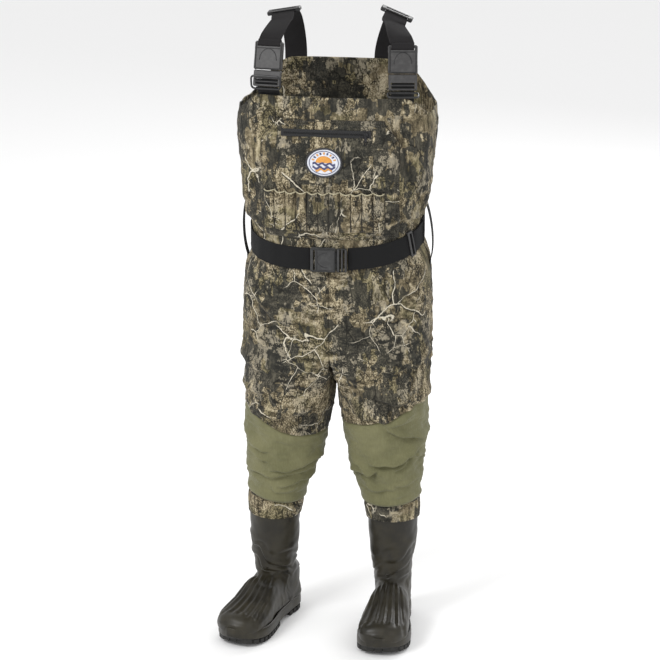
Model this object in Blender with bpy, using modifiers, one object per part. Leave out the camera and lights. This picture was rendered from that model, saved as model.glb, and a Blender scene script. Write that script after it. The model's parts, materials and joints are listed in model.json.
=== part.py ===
"""Chest waders: bib and trousers in camouflage cloth, olive knees, rubber boots, belt and suspenders.

Metres, +Z up. The wearer faces -Y, so the wearer's left is +X. Every measure is taken from the
garment's own middle line (x = 0) with the soles on z = 0; stand_on_origin() at the end moves the
whole garment so that the origin is the middle of its footprint.
"""

import math

import bmesh
import bpy
from mathutils import Matrix, Vector

# ---------------------------------------------------------------- driving dimensions
SIDES = {"left": 1, "right": -1}
GAP = 0.0004                # between pieces that touch
CLOTH = 0.004               # wall of the cloth shell, lining included

# Torso sections: height, half width, reach to the front, reach to the back, squareness
TORSO = (
    (0.56, 0.2100, 0.140, 0.138, 2.5),
    (0.70, 0.2135, 0.146, 0.146, 2.5),
    (0.80, 0.2125, 0.148, 0.148, 2.5),
    (0.855, 0.206, 0.145, 0.142, 2.5),
    (0.889, 0.1915, 0.138, 0.126, 2.6),
    (0.956, 0.1915, 0.138, 0.126, 2.6),
    (0.994, 0.204, 0.148, 0.129, 2.7),
    (1.05, 0.211, 0.150, 0.131, 2.8),
    (1.12, 0.217, 0.145, 0.132, 3.0),
    (1.19, 0.2205, 0.136, 0.131, 3.2),
    (1.31, 0.203, 0.114, 0.126, 3.2),
)
# Leg sections: height, distance of the middle from x = 0, half width, half depth, y of the middle
LEG = (
    (0.62, 0.107, 0.105, 0.128, 0.000),
    (0.54, 0.108, 0.102, 0.118, 0.000),
    (0.47, 0.114, 0.096, 0.106, 0.000),
    (0.42, 0.116, 0.089, 0.098, -0.003),
    (0.373, 0.122, 0.081, 0.089, -0.006),
    (0.335, 0.128, 0.071, 0.078, -0.010),
    (0.310, 0.133, 0.0655, 0.0700, -0.014),
    (0.262, 0.1375, 0.0634, 0.0660, -0.015),
)
LEG_SWAY = -0.0065          # both feet stand this far to the wearer's right

BIB_FRONT = 1.262           # top edge heights
BIB_SIDE = 1.222
BIB_BACK = 1.300
CROTCH = 0.685              # where the legs part at the front and the back
CROTCH_DIP = 0.035          # the fork's lowest point is this much lower
FORK_BLEND = 0.15           # height over which a half torso becomes a round leg
FORK_ANGLE = 55.0           # where the middle seam lands on a leg's section, in degrees
OLIVE_TOP = {"left": 0.500, "right": 0.467}    # seam between camouflage and olive cloth
OLIVE_RISE = {"left": 0.060, "right": 0.068}   # how much higher it is at the outer side of the leg
CUFF_TOP = 0.316
CUFF_BOTTOM = 0.262

WEBBING = 0.050             # width of belt and suspender webbing
BELT_FRONT = 0.903          # height of the belt's middle line at the front
BELT_RISE = 0.0375          # half of its rise to the back
BELT_TILT = 0.009           # its rise to the wearer's left
WAIST = 0.9225              # height of the belt band in the torso sections
BELT_THICK = 0.002
BELT_LIFT = 0.0032          # from cloth to webbing
BELT_BAND = 0.033           # half height of the waist that the belt presses flat

STRAP_THICK = 0.0024
STRAP_FRONT_X = {"left": 0.156, "right": 0.139}
STRAP_CREST_X = {"left": 0.128, "right": 0.121}
STRAP_BACK_X = {"left": 0.088, "right": 0.112}
CREST_TILT = {"left": 22.0, "right": 10.0}
CREST_RADIUS = 0.092
CREST_Y = 0.012
CREST_Z = 1.423
BUCKLE_SLOPE = 15.0         # of the front straps from the vertical
BUCKLE_YAW = 8.0
BUCKLE_Y = -0.108
BUCKLE_Z = 1.316            # joint line between socket and plug

POCKET_LIFT = 0.0022
POCKET_THICK = 0.0030
FRONT_LIFT = POCKET_LIFT + POCKET_THICK + 0.0016    # of what is sewn on the pocket

ZIP_FROM, ZIP_TO = -0.106, 0.092
ZIP_Z = 1.187

FEET = {"left": (0.131, 1.0), "right": (-0.144, -20.0)}     # x of the ankle, turn in degrees
ANKLE_Y = -0.015
BOOT_HEEL, BOOT_TOE = 0.078, -0.228     # along the foot, from the ankle
SOLE_TOP = 0.022
SOLE_TREAD = 0.010          # depth of the heel step and of the lugs
RUBBER = 0.0038
SHAFT_TOP = 0.311

parts = bpy.data.collections.new("chest_waders")
cutters = bpy.data.collections.new("cutters")


# ---------------------------------------------------------------- materials
def make_material(name, colour, roughness, metallic=0.0):
    material = bpy.data.materials.new(name)
    material.use_nodes = True
    shader = material.node_tree.nodes["Principled BSDF"]
    shader.inputs["Base Color"].default_value = (*colour, 1.0)
    shader.inputs["Roughness"].default_value = roughness
    shader.inputs["Metallic"].default_value = metallic
    return material


LOOKS = {
    "camo": ((0.150, 0.135, 0.095), 0.85),
    "olive": ((0.130, 0.125, 0.060), 0.80),
    "rubber": ((0.045, 0.041, 0.030), 0.50),
    "outsole": ((0.030, 0.028, 0.022), 0.65),
    "webbing": ((0.012, 0.012, 0.013), 0.80),
    "elastic": ((0.022, 0.021, 0.022), 0.75),
    "moulded": ((0.050, 0.050, 0.052), 0.45),
    "zip_black": ((0.010, 0.010, 0.011), 0.60),
    "badge": ((0.600, 0.610, 0.640), 0.60),
    "foam": ((0.060, 0.060, 0.058), 0.95),
    "lining": ((0.100, 0.100, 0.095), 0.95),
    "steel": ((0.500, 0.500, 0.520), 0.35, 1.0),
}


def give_material(obj, look):
    """Each piece gets a material of its own, named for the piece."""
    obj.data.materials.clear()
    obj.data.materials.append(make_material(obj.name, *LOOKS[look]))


# ---------------------------------------------------------------- modelling helpers
def smooth(t):
    t = min(max(t, 0.0), 1.0)
    return t * t * (3.0 - 2.0 * t)


def mix(a, b, t):
    return a + (b - a) * t


def section_at(stations, height):
    """The section at a height, from a smooth curve through stations listed upwards or downwards."""
    rows = sorted(stations)
    if height <= rows[0][0]:
        return rows[0][1:]
    if height >= rows[-1][0]:
        return rows[-1][1:]
    k = max(i for i in range(len(rows) - 1) if rows[i][0] <= height)
    low, high = rows[k], rows[k + 1]
    before, after = rows[max(k - 1, 0)], rows[min(k + 2, len(rows) - 1)]
    span = high[0] - low[0]
    t = (height - low[0]) / span
    values = []
    for i in range(1, len(low)):
        rise_low = (high[i] - before[i]) / (high[0] - before[0]) * span
        rise_high = (after[i] - low[i]) / (after[0] - low[0]) * span
        values.append(low[i] * (1 + 2 * t) * (1 - t) ** 2 + rise_low * t * (1 - t) ** 2
                      + high[i] * t * t * (3 - 2 * t) - rise_high * t * t * (1 - t))
    return values


def add_mesh(name, points, faces, look):
    mesh = bpy.data.meshes.new(name)
    mesh.from_pydata([tuple(point) for point in points], [], faces)
    mesh.validate()
    obj = bpy.data.objects.new(name, mesh)
    parts.objects.link(obj)
    give_material(obj, look)
    return obj


def face_out(obj, inside):
    """Turns an open sheet's faces so that they point away from a point inside."""
    shape = bmesh.new()
    shape.from_mesh(obj.data)
    bmesh.ops.recalc_face_normals(shape, faces=shape.faces)
    outward = sum((face.calc_center_median() - inside).dot(face.normal) * face.calc_area()
                  for face in shape.faces)
    if outward < 0:
        bmesh.ops.reverse_faces(shape, faces=shape.faces)
    shape.to_mesh(obj.data)
    shape.free()


def solidify(obj, thickness, outward=False):
    shell = obj.modifiers.new("wall", "SOLIDIFY")
    shell.thickness = thickness
    shell.offset = 1.0 if outward else -1.0
    shell.use_even_offset = True
    obj.data.shade_smooth()
    return shell


def loft(name, rings, look, closed_rings=False, cap_end=False, inside=None):
    """An open sheet through rows of points; each row may close on itself."""
    count = len(rings[0])
    points = [point for ring in rings for point in ring]
    faces = []
    for row in range(len(rings) - 1):
        for i in range(count if closed_rings else count - 1):
            j = (i + 1) % count
            low, high = row * count, (row + 1) * count
            faces.append((low + i, low + j, high + j, high + i))
    if cap_end:
        last = (len(rings) - 1) * count
        faces.append(tuple(range(last, last + count)))
    obj = add_mesh(name, points, faces, look)
    if inside is not None:
        face_out(obj, Vector(inside))
    return obj


def box(name, size, place, look=None, bevel=0.0, segments=1):
    """A block of the given size whose corners are rounded by a Bevel modifier."""
    bpy.ops.mesh.primitive_cube_add(size=1.0)
    obj = bpy.context.object
    obj.name = name
    obj.data.name = name
    obj.data.transform(place @ Matrix.Diagonal((*size, 1.0)))
    for collection in list(obj.users_collection):
        collection.objects.unlink(obj)
    if look is None:
        cutters.objects.link(obj)
        obj.hide_render = True
        obj.display_type = "WIRE"
    else:
        parts.objects.link(obj)
        give_material(obj, look)
    if bevel:
        rounding = obj.modifiers.new("edges", "BEVEL")
        rounding.width = bevel
        rounding.segments = segments
        rounding.limit_method = "ANGLE"
    return obj


def set_origin(obj, point):
    """Moves a piece's origin to a point of its joint's axis; the shape stays where it is."""
    obj.data.transform(Matrix.Translation(-Vector(point)))
    obj.location = point


def cut(obj, cutter):
    hole = obj.modifiers.new(cutter.name, "BOOLEAN")
    hole.operation = "DIFFERENCE"
    hole.solver = "EXACT"
    hole.object = cutter


def outline_plate(name, outline, thickness, place, look):
    """A flat plate: a filled outline in its own XY plane, given its thickness along Z, as a mesh."""
    curve = bpy.data.curves.new(name, "CURVE")
    curve.dimensions = "2D"
    curve.fill_mode = "BOTH"
    curve.extrude = thickness / 2
    spline = curve.splines.new("POLY")
    spline.points.add(len(outline) - 1)
    for point, (x, y) in zip(spline.points, outline):
        point.co = (x, y, 0.0, 1.0)
    spline.use_cyclic_u = True
    source = bpy.data.objects.new(name + "_outline", curve)
    bpy.context.scene.collection.objects.link(source)
    bpy.context.view_layer.update()
    evaluated = source.evaluated_get(bpy.context.evaluated_depsgraph_get())
    mesh = bpy.data.meshes.new_from_object(evaluated)
    shape = bmesh.new()
    shape.from_mesh(mesh)
    bmesh.ops.remove_doubles(shape, verts=shape.verts, dist=0.00001)
    bmesh.ops.recalc_face_normals(shape, faces=shape.faces)
    shape.to_mesh(mesh)
    shape.free()
    mesh.name = name
    mesh.transform(place)
    obj = bpy.data.objects.new(name, mesh)
    if look is None:
        cutters.objects.link(obj)
        obj.hide_render = True
        obj.display_type = "WIRE"
    else:
        parts.objects.link(obj)
        give_material(obj, look)
    bpy.data.objects.remove(source)
    return obj


def rounded_rectangle(width, height, radius, steps=3):
    """Outline of a rectangle with round corners, centred on its origin."""
    points = []
    for k, (sx, sy) in enumerate(((1, 1), (-1, 1), (-1, -1), (1, -1))):
        for i in range(steps + 1):
            angle = math.radians(90.0 * k + 90.0 * i / steps)
            points.append((sx * (width / 2 - radius) + radius * math.cos(angle),
                           sy * (height / 2 - radius) + radius * math.sin(angle)))
    return points


def ribbon(name, middle, across, width, thickness, look):
    """Webbing: a strip along its middle points, wide along the given directions, on their outer side."""
    rows = [(point - side * width / 2, point + side * width / 2) for point, side in zip(middle, across)]
    obj = loft(name, rows, look)
    solidify(obj, thickness, outward=True)
    return obj


def frame_of(along, out, place):
    """Right-handed frame at a place: x along, z outwards."""
    across = out.cross(along)
    return Matrix.Translation(place) @ Matrix((along, across, out)).transposed().to_4x4()


def hermite(start, start_way, end, end_way, steps):
    """Points of a cubic from start to end, leaving and arriving along the given ways."""
    points = []
    for i in range(steps + 1):
        t = i / steps
        points.append(start * (1 + 2 * t) * (1 - t) ** 2 + start_way * t * (1 - t) ** 2
                      + end * t * t * (3 - 2 * t) - end_way * t * t * (1 - t))
    return points


# ---------------------------------------------------------------- the garment's surface
def belt_height(u, side):
    turn = math.pi * u
    return BELT_FRONT + BELT_RISE * (1 - math.cos(turn)) + BELT_TILT * side * math.sin(turn)


def torso_section(u, side, z):
    """Half width, front reach, back reach and squareness; the waist follows the belt's slope."""
    belt = belt_height(u, side)
    shift = (belt - WAIST) * math.exp(-((z - belt) / 0.20) ** 2)
    return section_at(TORSO, z - shift)


def torso_point(u, side, z):
    """u runs from 0 at the middle of the front over the side to 1 at the middle of the back."""
    half_width, front, back, squareness = torso_section(u, side, z)
    turn = math.pi * u
    power = 2.0 / squareness
    x = half_width * abs(math.sin(turn)) ** power
    reach = -front if math.cos(turn) > 0 else back
    return Vector((side * x, reach * abs(math.cos(turn)) ** power, z))


def leg_turn(u):
    """Angle on a leg's section, from the front, at u."""
    if u <= 1.0:
        return math.radians(mix(-FORK_ANGLE, 180 + FORK_ANGLE, u))
    return math.radians(mix(180 + FORK_ANGLE, 360 - FORK_ANGLE, u - 1.0))


def leg_point(u, side, z):
    """u from 0 to 1 is the outer part of the leg, from 1 to 2 the inner part, back to front."""
    middle, half_width, half_depth, y = section_at(LEG, z)
    turn = leg_turn(u)
    sway = LEG_SWAY * smooth((CROTCH - z) / (CROTCH - CUFF_BOTTOM))
    x = side * (middle + half_width * math.sin(turn)) + sway
    return Vector((x, y - half_depth * math.cos(turn), z))


def fork_point(u, side, z):
    """Between torso and leg: the half torso with a straight inner wall turns into the round leg."""
    if u <= 1.0:
        half_torso = torso_point(u, side, z)
        height = z
    else:
        s = u - 1.0
        front, back = torso_point(0.0, side, z), torso_point(1.0, side, z)
        above = max(1.0 - (CROTCH - z) / FORK_BLEND, 0.0)
        height = z - CROTCH_DIP * math.sin(math.pi * s) * above * above
        half_torso = Vector((side * GAP * 2, mix(back.y, front.y, s), height))
    weight = smooth((CROTCH - z) / FORK_BLEND)
    leg = leg_point(u, side, z)
    leg.z = height
    return half_torso.lerp(leg, weight)


def garment_point(u, side, z):
    on_torso = z >= CROTCH and u <= 1.0
    return torso_point(u, side, z) if on_torso else fork_point(u, side, z)


def front_point(x, z, lift=0.0, back=False):
    """A point over the front (or back) of the torso at x, z, lifted off along the surface's normal."""
    def surface(px, pz):
        side = 1 if px >= 0 else -1
        u = 0.9 if back else 0.1
        half_width, front, rear, squareness = torso_section(u, side, pz)
        reach = rear if back else -front
        share = min(abs(px) / half_width, 0.999)
        return Vector((px, reach * (1 - share ** squareness) ** (1 / squareness), pz))
    step = 0.002
    across = surface(x + step, z) - surface(x - step, z)
    upward = surface(x, z + step) - surface(x, z - step)
    normal = across.cross(upward).normalized()
    if normal.y > 0 and not back or normal.y < 0 and back:
        normal.negate()
    return surface(x, z) + normal * lift, normal


# ---------------------------------------------------------------- cloth panels
def spread(start, end, count):
    return [mix(start, end, i / (count - 1)) for i in range(count)]


def top_edge(u):
    """Height of the garment's upper edge around the torso."""
    front = mix(BIB_FRONT, BIB_SIDE, smooth((u - 0.20) / 0.22))
    back = mix(BIB_SIDE, BIB_BACK, smooth((u - 0.60) / 0.27))
    return front if u < 0.5 else back


SEAM_U = 0.0020             # half of a seam's gap, as a share of a panel's sweep
INSEAM_U = 0.009


def upper_panel(name, u_from, u_to, look):
    """Bib or back panel: both sides of the torso from the waist seam to the upper edge."""
    if u_from < 0.25:
        path = [(u, -1) for u in spread(u_to, 0.04, 9)] + [(u, 1) for u in spread(0.04, u_to, 9)]
    else:
        path = [(u, 1) for u in spread(u_from, 0.96, 9)] + [(u, -1) for u in spread(0.96, u_from, 9)]
    rows = [[torso_point(u, side, belt_height(u, side) + GAP) for u, side in path]]
    for k in range(8):
        rows.append([torso_point(u, side, mix(belt_height(u, side) + BELT_BAND, top_edge(u), k / 7))
                     for u, side in path])
    obj = loft(name, rows, look, inside=(0, 0, 1.05))
    solidify(obj, CLOTH)
    return obj


def olive_edge(side_name, u):
    """Height of the seam where camouflage cloth meets the olive knee; it rises to the outside."""
    outward = (1 + math.sin(leg_turn(u))) / 2
    return OLIVE_TOP[side_name] + OLIVE_RISE[side_name] * outward * outward


def leg_panel(name, side_name, outer, inner, look):
    """Front or back trouser panel of one leg: waist seam to olive seam, over the fork."""
    side = SIDES[side_name]
    points, index = [], {}

    def vertex(u, row, z):
        key = (round(u, 5), row)
        if key not in index:
            index[key] = len(points)
            points.append(garment_point(u, side, z))
        return index[key]

    upper_rows, lower_rows = 7, 6
    faces = []

    def height(u, row):
        if row == 0:
            return belt_height(u, side) - GAP
        if row <= upper_rows:
            return mix(belt_height(u, side) - BELT_BAND, CROTCH, (row - 1) / (upper_rows - 1))
        share = (row - upper_rows) / lower_rows
        return mix(CROTCH, olive_edge(side_name, u) + GAP, share)

    for row in range(upper_rows + lower_rows):
        columns = [outer] if row < upper_rows else [outer, inner]
        for column in columns:
            for a, b in zip(column, column[1:]):
                faces.append((vertex(a, row, height(a, row)), vertex(b, row, height(b, row)),
                              vertex(b, row + 1, height(b, row + 1)), vertex(a, row + 1, height(a, row + 1))))
    obj = add_mesh(name, points, faces, look)
    face_out(obj, Vector((side * 0.1, 0, 0.65)))
    solidify(obj, CLOTH)
    return obj


def lower_panel(name, side_name, columns, rows, look):
    """A panel from the olive seam down to the cuff."""
    side = SIDES[side_name]
    bottom = CUFF_TOP + GAP
    grid = []
    for k in range(rows):
        row = []
        for u in columns:
            upper = olive_edge(side_name, u) - GAP
            row.append(leg_point(u, side, mix(upper, bottom, k / (rows - 1))))
        grid.append(row)
    middle = section_at(LEG, bottom)[0]
    obj = loft(name, grid, look, inside=(side * middle, 0, (OLIVE_TOP[side_name] + bottom) / 2))
    solidify(obj, CLOTH)
    return obj


def make_cloth():
    upper_panel("front_bib", 0.0, 0.5 - SEAM_U, "camo")
    upper_panel("back_panel", 0.5 + SEAM_U, 1.0, "camo")
    front_outer = spread(0.5 - SEAM_U, SEAM_U / 2, 8)
    front_inner = [SEAM_U / 2] + spread(1.96, 1.5 + INSEAM_U, 4)
    back_outer = spread(0.5 + SEAM_U, 1.0 - SEAM_U / 2, 8)
    back_inner = [1.0 - SEAM_U / 2] + spread(1.04, 1.5 - INSEAM_U, 4)
    for side_name in SIDES:
        leg_panel(f"front_trouser_{side_name}", side_name, front_outer, front_inner, "camo")
        leg_panel(f"back_trouser_{side_name}", side_name, back_outer, back_inner, "camo")
        lower_panel(f"knee_{side_name}", side_name, front_outer + front_inner[1:], 6, "olive")
        lower_panel(f"calf_{side_name}", side_name, back_outer + back_inner[1:], 6, "olive")
        make_cuff(side_name)


def make_cuff(side_name):
    """Closed band over the top of the boot shaft."""
    side = SIDES[side_name]
    columns = spread(0.0, 1.0, 21) + [1.2, 1.4, 1.6, 1.8]
    rings = [[leg_point(u, side, z) for u in columns] for z in (CUFF_TOP - GAP, 0.300, 0.281, CUFF_BOTTOM)]
    obj = loft(f"cuff_{side_name}", rings, "camo", closed_rings=True)
    face_out(obj, Vector((side * 0.1375 + LEG_SWAY, ANKLE_Y, 0.29)))
    solidify(obj, 0.003)


# ---------------------------------------------------------------- pieces on the bib
def front_sheet(name, columns, rows, point_of, thickness, look):
    """A sheet over the bib: point_of gives the place of column and row values."""
    grid = [[point_of(column, row) for column in columns] for row in rows]
    obj = loft(name, grid, look, inside=(0, 0, 1.1))
    solidify(obj, thickness, outward=True)
    return obj


def make_bib_pieces():
    pocket_top, pocket_bottom = 1.214, 0.950
    pocket_half = 0.152

    def pocket_point(x, v):
        z = mix(pocket_bottom, pocket_top, v)
        shoulder = 1.0 - 0.22 * smooth((v - 0.80) / 0.20)
        return front_point(x * shoulder, z, POCKET_LIFT)[0]

    across = spread(-pocket_half, pocket_half, 17)
    front_sheet("chest_pocket", across, spread(0, 1, 9), pocket_point, POCKET_THICK, "camo")

    sleeves = 11
    loops_left, loops_right = -0.141, 0.120

    def sleeve_point(column, z):
        x = mix(loops_left, loops_right, column / sleeves)
        bulge = 0.0032 * abs(math.sin(math.pi * column)) ** 0.7
        return front_point(x, z, FRONT_LIFT + bulge)[0]

    columns = [i / 3 for i in range(sleeves * 3 + 1)]
    front_sheet("shell_loops", columns, spread(0.972, 1.058, 3), sleeve_point, 0.0018, "camo")

    badge_x, badge_z, badge_a, badge_b = -0.010, 1.124, 0.040, 0.032
    ring_share = (0.05, 0.5, 1.0)
    rings = []
    for share in ring_share:
        turns = [math.tau * i / 24 for i in range(24)]
        rings.append([front_point(badge_x + share * badge_a * math.cos(t),
                                  badge_z + share * badge_b * math.sin(t), FRONT_LIFT)[0] for t in turns])
    badge = loft("badge", rings[::-1], "badge", closed_rings=True, cap_end=True, inside=(0, 0, 1.1))
    solidify(badge, 0.0018, outward=True)

    back_half, back_low, back_high = 0.150, 1.222, 1.292
    grid = [[front_point(x, z, POCKET_LIFT, back=True)[0] for x in spread(-back_half, back_half, 9)]
            for z in spread(back_low, back_high, 3)]
    patch = loft("back_strap_patch", grid, "camo", inside=(0, 0, 1.25))
    solidify(patch, 0.003, outward=True)


def zip_arc():
    """Centre and radius of the circle, level with the zip, that its chain follows."""
    ends = [front_point(x, ZIP_Z, FRONT_LIFT)[0] for x in (ZIP_FROM, 0.5 * (ZIP_FROM + ZIP_TO), ZIP_TO)]
    half_chord = 0.5 * (ZIP_TO - ZIP_FROM)
    depth = 0.5 * (ends[0].y + ends[2].y) - ends[1].y
    radius = (half_chord ** 2 + depth ** 2) / (2 * depth)
    return Vector((0.5 * (ZIP_FROM + ZIP_TO), ends[1].y + radius, ZIP_Z)), radius


def make_zip():
    centre, radius = zip_arc()
    lean = front_point(0.0, ZIP_Z, 0.0)[1]
    tilt = math.asin(lean.z)
    tape_half = 0.008

    def arc_point(x, lift, up):
        angle = math.asin((x - centre.x) / radius)
        out = Vector((math.sin(angle), -math.cos(angle), 0.0))
        rise = Vector((0.0, 0.0, up)) - out * up * math.tan(tilt)
        return centre + out * (radius + lift) + rise

    columns = spread(ZIP_FROM, ZIP_TO, 15)
    grid = [[arc_point(x, 0.0012, up) for x in columns] for up in (-tape_half, tape_half)]
    tape = loft("zip_tape", grid, "zip_black", inside=(0, 0, 1.18))
    solidify(tape, 0.0014, outward=True)

    angle = math.asin((ZIP_TO - 0.012 - centre.x) / radius)
    out = Vector((math.sin(angle), -math.cos(angle), 0.0))
    along = Vector((math.cos(angle), math.sin(angle), 0.0))
    slider_place = frame_of(along, Vector((0, 0, 1)), centre + out * (radius + 0.0050))
    axle = bpy.data.objects.new("zip_slider_axis", None)
    axle.location = centre
    parts.objects.link(axle)
    slider = box("zip_slider", (0.011, 0.0036, 0.009), slider_place, "zip_black", bevel=0.0009)
    pull_place = slider_place @ Matrix.Translation((0.0, -0.0036, -0.0125))
    pull = box("zip_pull", (0.0055, 0.0018, 0.022), pull_place, "zip_black", bevel=0.0007)
    slot = box("zip_pull_hole", (0.0026, 0.01, 0.006), pull_place @ Matrix.Translation((0, 0, -0.006)))
    cut(pull, slot)
    hinge = bpy.data.objects.new("zip_pull_axis", None)
    hinge.location = (slider_place @ Matrix.Translation((0.0, -0.0036, -0.003))).translation
    parts.objects.link(hinge)
    for obj, axis in ((slider, axle), (pull, hinge), (slot, hinge)):
        hang_on(obj, axis)
    hang_on(hinge, axle)


def hang_on(child, parent):
    """Parents a piece to the empty on its joint's axis without moving it."""
    child.parent = parent
    child.matrix_parent_inverse = Matrix.Translation(parent.location).inverted()


# ---------------------------------------------------------------- side-release buckles
def make_buckle(prefix, width, socket_length, plug_length, thick, place, look="moulded"):
    """Socket at x < 0, plug at x > 0, width along y, outer face at +z, in the buckle's own frame."""
    wall = 0.0022
    shift = Matrix.Translation
    socket = box(f"{prefix}_socket", (socket_length, width, thick),
                 place @ shift((-socket_length / 2, 0, 0)), look, bevel=0.0030)
    cavity = box(f"{prefix}_cavity", (socket_length - 0.016 + 0.02, width - 4 * wall, thick - 2 * wall),
                 place @ shift((-(socket_length - 0.016) / 2 + 0.01, 0, 0)))
    window_length = 0.42 * socket_length
    windows = box(f"{prefix}_windows", (window_length, width + 0.01, thick - 2 * wall - 0.001),
                  place @ shift((-socket_length * 0.52, 0, 0)))
    slot = box(f"{prefix}_socket_slot", (0.0045, WEBBING + 0.002, thick * 3),
               place @ shift((-socket_length + 0.0085, 0, 0)))
    for cutter in (cavity, windows, slot):
        cut(socket, cutter)
    set_origin(socket, place.translation)

    plug_start = 0.0008
    plug = box(f"{prefix}_plug", (plug_length - plug_start, width - 0.002, thick * 0.82),
               place @ shift(((plug_length + plug_start) / 2, 0, 0)), look, bevel=0.0022)
    for i, offset in enumerate((0.0065, 0.0145)):
        slot_size = (0.0042, WEBBING + 0.0015, thick * 3)
        cut(plug, box(f"{prefix}_plug_slot_{i}", slot_size, place @ shift((plug_length - offset, 0, 0))))
    set_origin(plug, place.translation)

    arm = 0.62 * socket_length
    inner_half = width / 2 - 2 * wall
    prong_half = (thick - 2 * wall) / 2 - 0.0006
    for k, hand in enumerate((1, -1)):
        outline = [(-0.0005, hand * (inner_half - 0.0150)), (-0.0005, hand * (inner_half - 0.0075)),
                   (-0.38 * arm, hand * (inner_half - 0.0060)), (-0.62 * arm, hand * (inner_half - 0.0012)),
                   (-0.90 * arm, hand * (inner_half - 0.0008)), (-arm, hand * (inner_half - 0.0040)),
                   (-arm, hand * (inner_half - 0.0065)), (-0.55 * arm, hand * (inner_half - 0.0090)),
                   (-0.30 * arm, hand * (inner_half - 0.0120))]
        prong = outline_plate(f"{prefix}_prong_{'ab'[k]}", outline, prong_half * 2, place, look)
        prong.data.shade_flat()
        root = (-0.0005, hand * (inner_half - 0.01125), 0.0)
        set_origin(prong, place @ Vector(root))


# ---------------------------------------------------------------- belt
def belt_point(u, side, rise=0.0, lift=BELT_LIFT):
    """A point on the belt's inner face: just off the waist, on the belt's own middle line."""
    height = belt_height(u, side)
    half_width, front, back, squareness = torso_section(u, side, height)
    turn = math.pi * u
    power = 2.0 / squareness
    reach = -(front + lift) if math.cos(turn) > 0 else back + lift
    return Vector((side * (half_width + lift) * abs(math.sin(turn)) ** power,
                   reach * abs(math.cos(turn)) ** power, height + rise))


def belt_u_at_x(x, lift=BELT_LIFT):
    """The u at which the front half of the belt passes x."""
    side = 1 if x >= 0 else -1
    half_width, squareness = [torso_section(0.1, side, belt_height(0.1, side))[i] for i in (0, 3)]
    return math.asin((abs(x) / (half_width + lift)) ** (squareness / 2)) / math.pi


BELT_BUCKLE_X = 0.016       # joint line of the belt buckle
BELT_SOCKET = 0.057
BELT_PLUG = 0.024
BELT_ADJUSTER_U = 0.335


def belt_run(name, path, look):
    """A stretch of belt through (u, side) stops, wide along the vertical."""
    middle = [belt_point(u, side) for u, side in path]
    rows = [[point + Vector((0, 0, h)) for point in middle] for h in (-WEBBING / 2, WEBBING / 2)]
    obj = loft(name, rows, look, inside=(0, 0, BELT_FRONT + BELT_RISE))
    solidify(obj, BELT_THICK, outward=True)
    return obj


def make_belt():
    socket_end = belt_u_at_x(BELT_BUCKLE_X - BELT_SOCKET - 0.001)
    plug_end = belt_u_at_x(BELT_BUCKLE_X + BELT_PLUG + 0.001)
    right_half = [(u, -1) for u in spread(socket_end, 0.99, 36)]
    left_half = [(u, 1) for u in spread(0.99, BELT_ADJUSTER_U, 26)]
    belt_run("belt_webbing", right_half + left_half, "webbing")
    belt_run("belt_free_run", [(u, 1) for u in spread(plug_end, BELT_ADJUSTER_U - 0.0022, 14)], "webbing")

    middle = belt_point(0.0, 1)
    place = Matrix.Translation((BELT_BUCKLE_X, middle.y - 0.0066, middle.z)) @ Matrix(
        ((1, 0, 0, 0), (0, 0, -1, 0), (0, 1, 0, 0), (0, 0, 0, 1)))
    make_buckle("belt_buckle", 0.056, BELT_SOCKET, BELT_PLUG, 0.0115, place)
    make_belt_adjuster()
    for side_name, side in SIDES.items():
        make_belt_loop(side_name, side)


def belt_frame(u, side, lift):
    """Place on the belt with x along it, y up and z outwards."""
    step = 0.004
    before, after = belt_point(u - step, side, lift=lift), belt_point(u + step, side, lift=lift)
    along = (after - before).normalized() * side
    out = along.cross(Vector((0, 0, 1))).normalized()
    if out.dot(Vector((side, -1, 0))) < 0:
        out.negate()
    return frame_of(along, out, belt_point(u, side, lift=lift))


def belt_arc_centre(u, side):
    """Centre of the belt's curve at u, about which a piece that slides on the belt turns."""
    reach = 0.02
    lift = BELT_LIFT + BELT_THICK / 2
    first, middle, last = [belt_point(u + step, side, lift=lift) for step in (-reach, 0, reach)]
    to_middle, to_last = middle - first, last - first
    normal = to_middle.cross(to_last)
    offset = normal.cross(to_middle) * to_last.length_squared
    offset += to_last.cross(normal) * to_middle.length_squared
    return first + offset / (2 * normal.length_squared)


def make_belt_adjuster():
    """Slide adjuster: a frame whose bars lie over and under the webbing."""
    place = belt_frame(BELT_ADJUSTER_U, 1, BELT_LIFT + BELT_THICK / 2)
    shift = Matrix.Translation
    outer = box("belt_adjuster", (0.015, 0.061, 0.0076), place @ shift((0, 0, 0.0013)), "moulded",
                bevel=0.0012)
    tunnel = box("belt_adjuster_tunnel", (0.04, WEBBING + 0.003, BELT_THICK + 0.0022),
                 place @ shift((0, 0, -0.0001)))
    window = box("belt_adjuster_window", (0.0075, WEBBING + 0.002, 0.02), place @ shift((0, 0, 0.0102)))
    cut(outer, tunnel)
    cut(outer, window)
    set_origin(outer, belt_arc_centre(BELT_ADJUSTER_U, 1))


def make_belt_loop(side_name, side):
    """Webbing keeper at the side: sewn to the cloth above and below, it stands off over the belt."""
    u = 0.5
    top, bottom = 1.002, 0.872
    anchors = [torso_point(u, side, z) for z in (top, bottom)]
    path = hermite(anchors[0] + Vector((side * 0.0012, 0, 0)), Vector((side * 0.055, 0, -0.10)),
                   anchors[1] + Vector((side * 0.0012, 0, 0)), Vector((-side * 0.055, 0, -0.10)), 12)
    rows = [[Vector((point.x, y, point.z)) for point in path] for y in (-0.011, 0.011)]
    obj = loft(f"belt_loop_{side_name}", rows, "webbing", inside=(side * 0.15, 0, 0.93))
    solidify(obj, 0.0018, outward=True)


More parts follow.
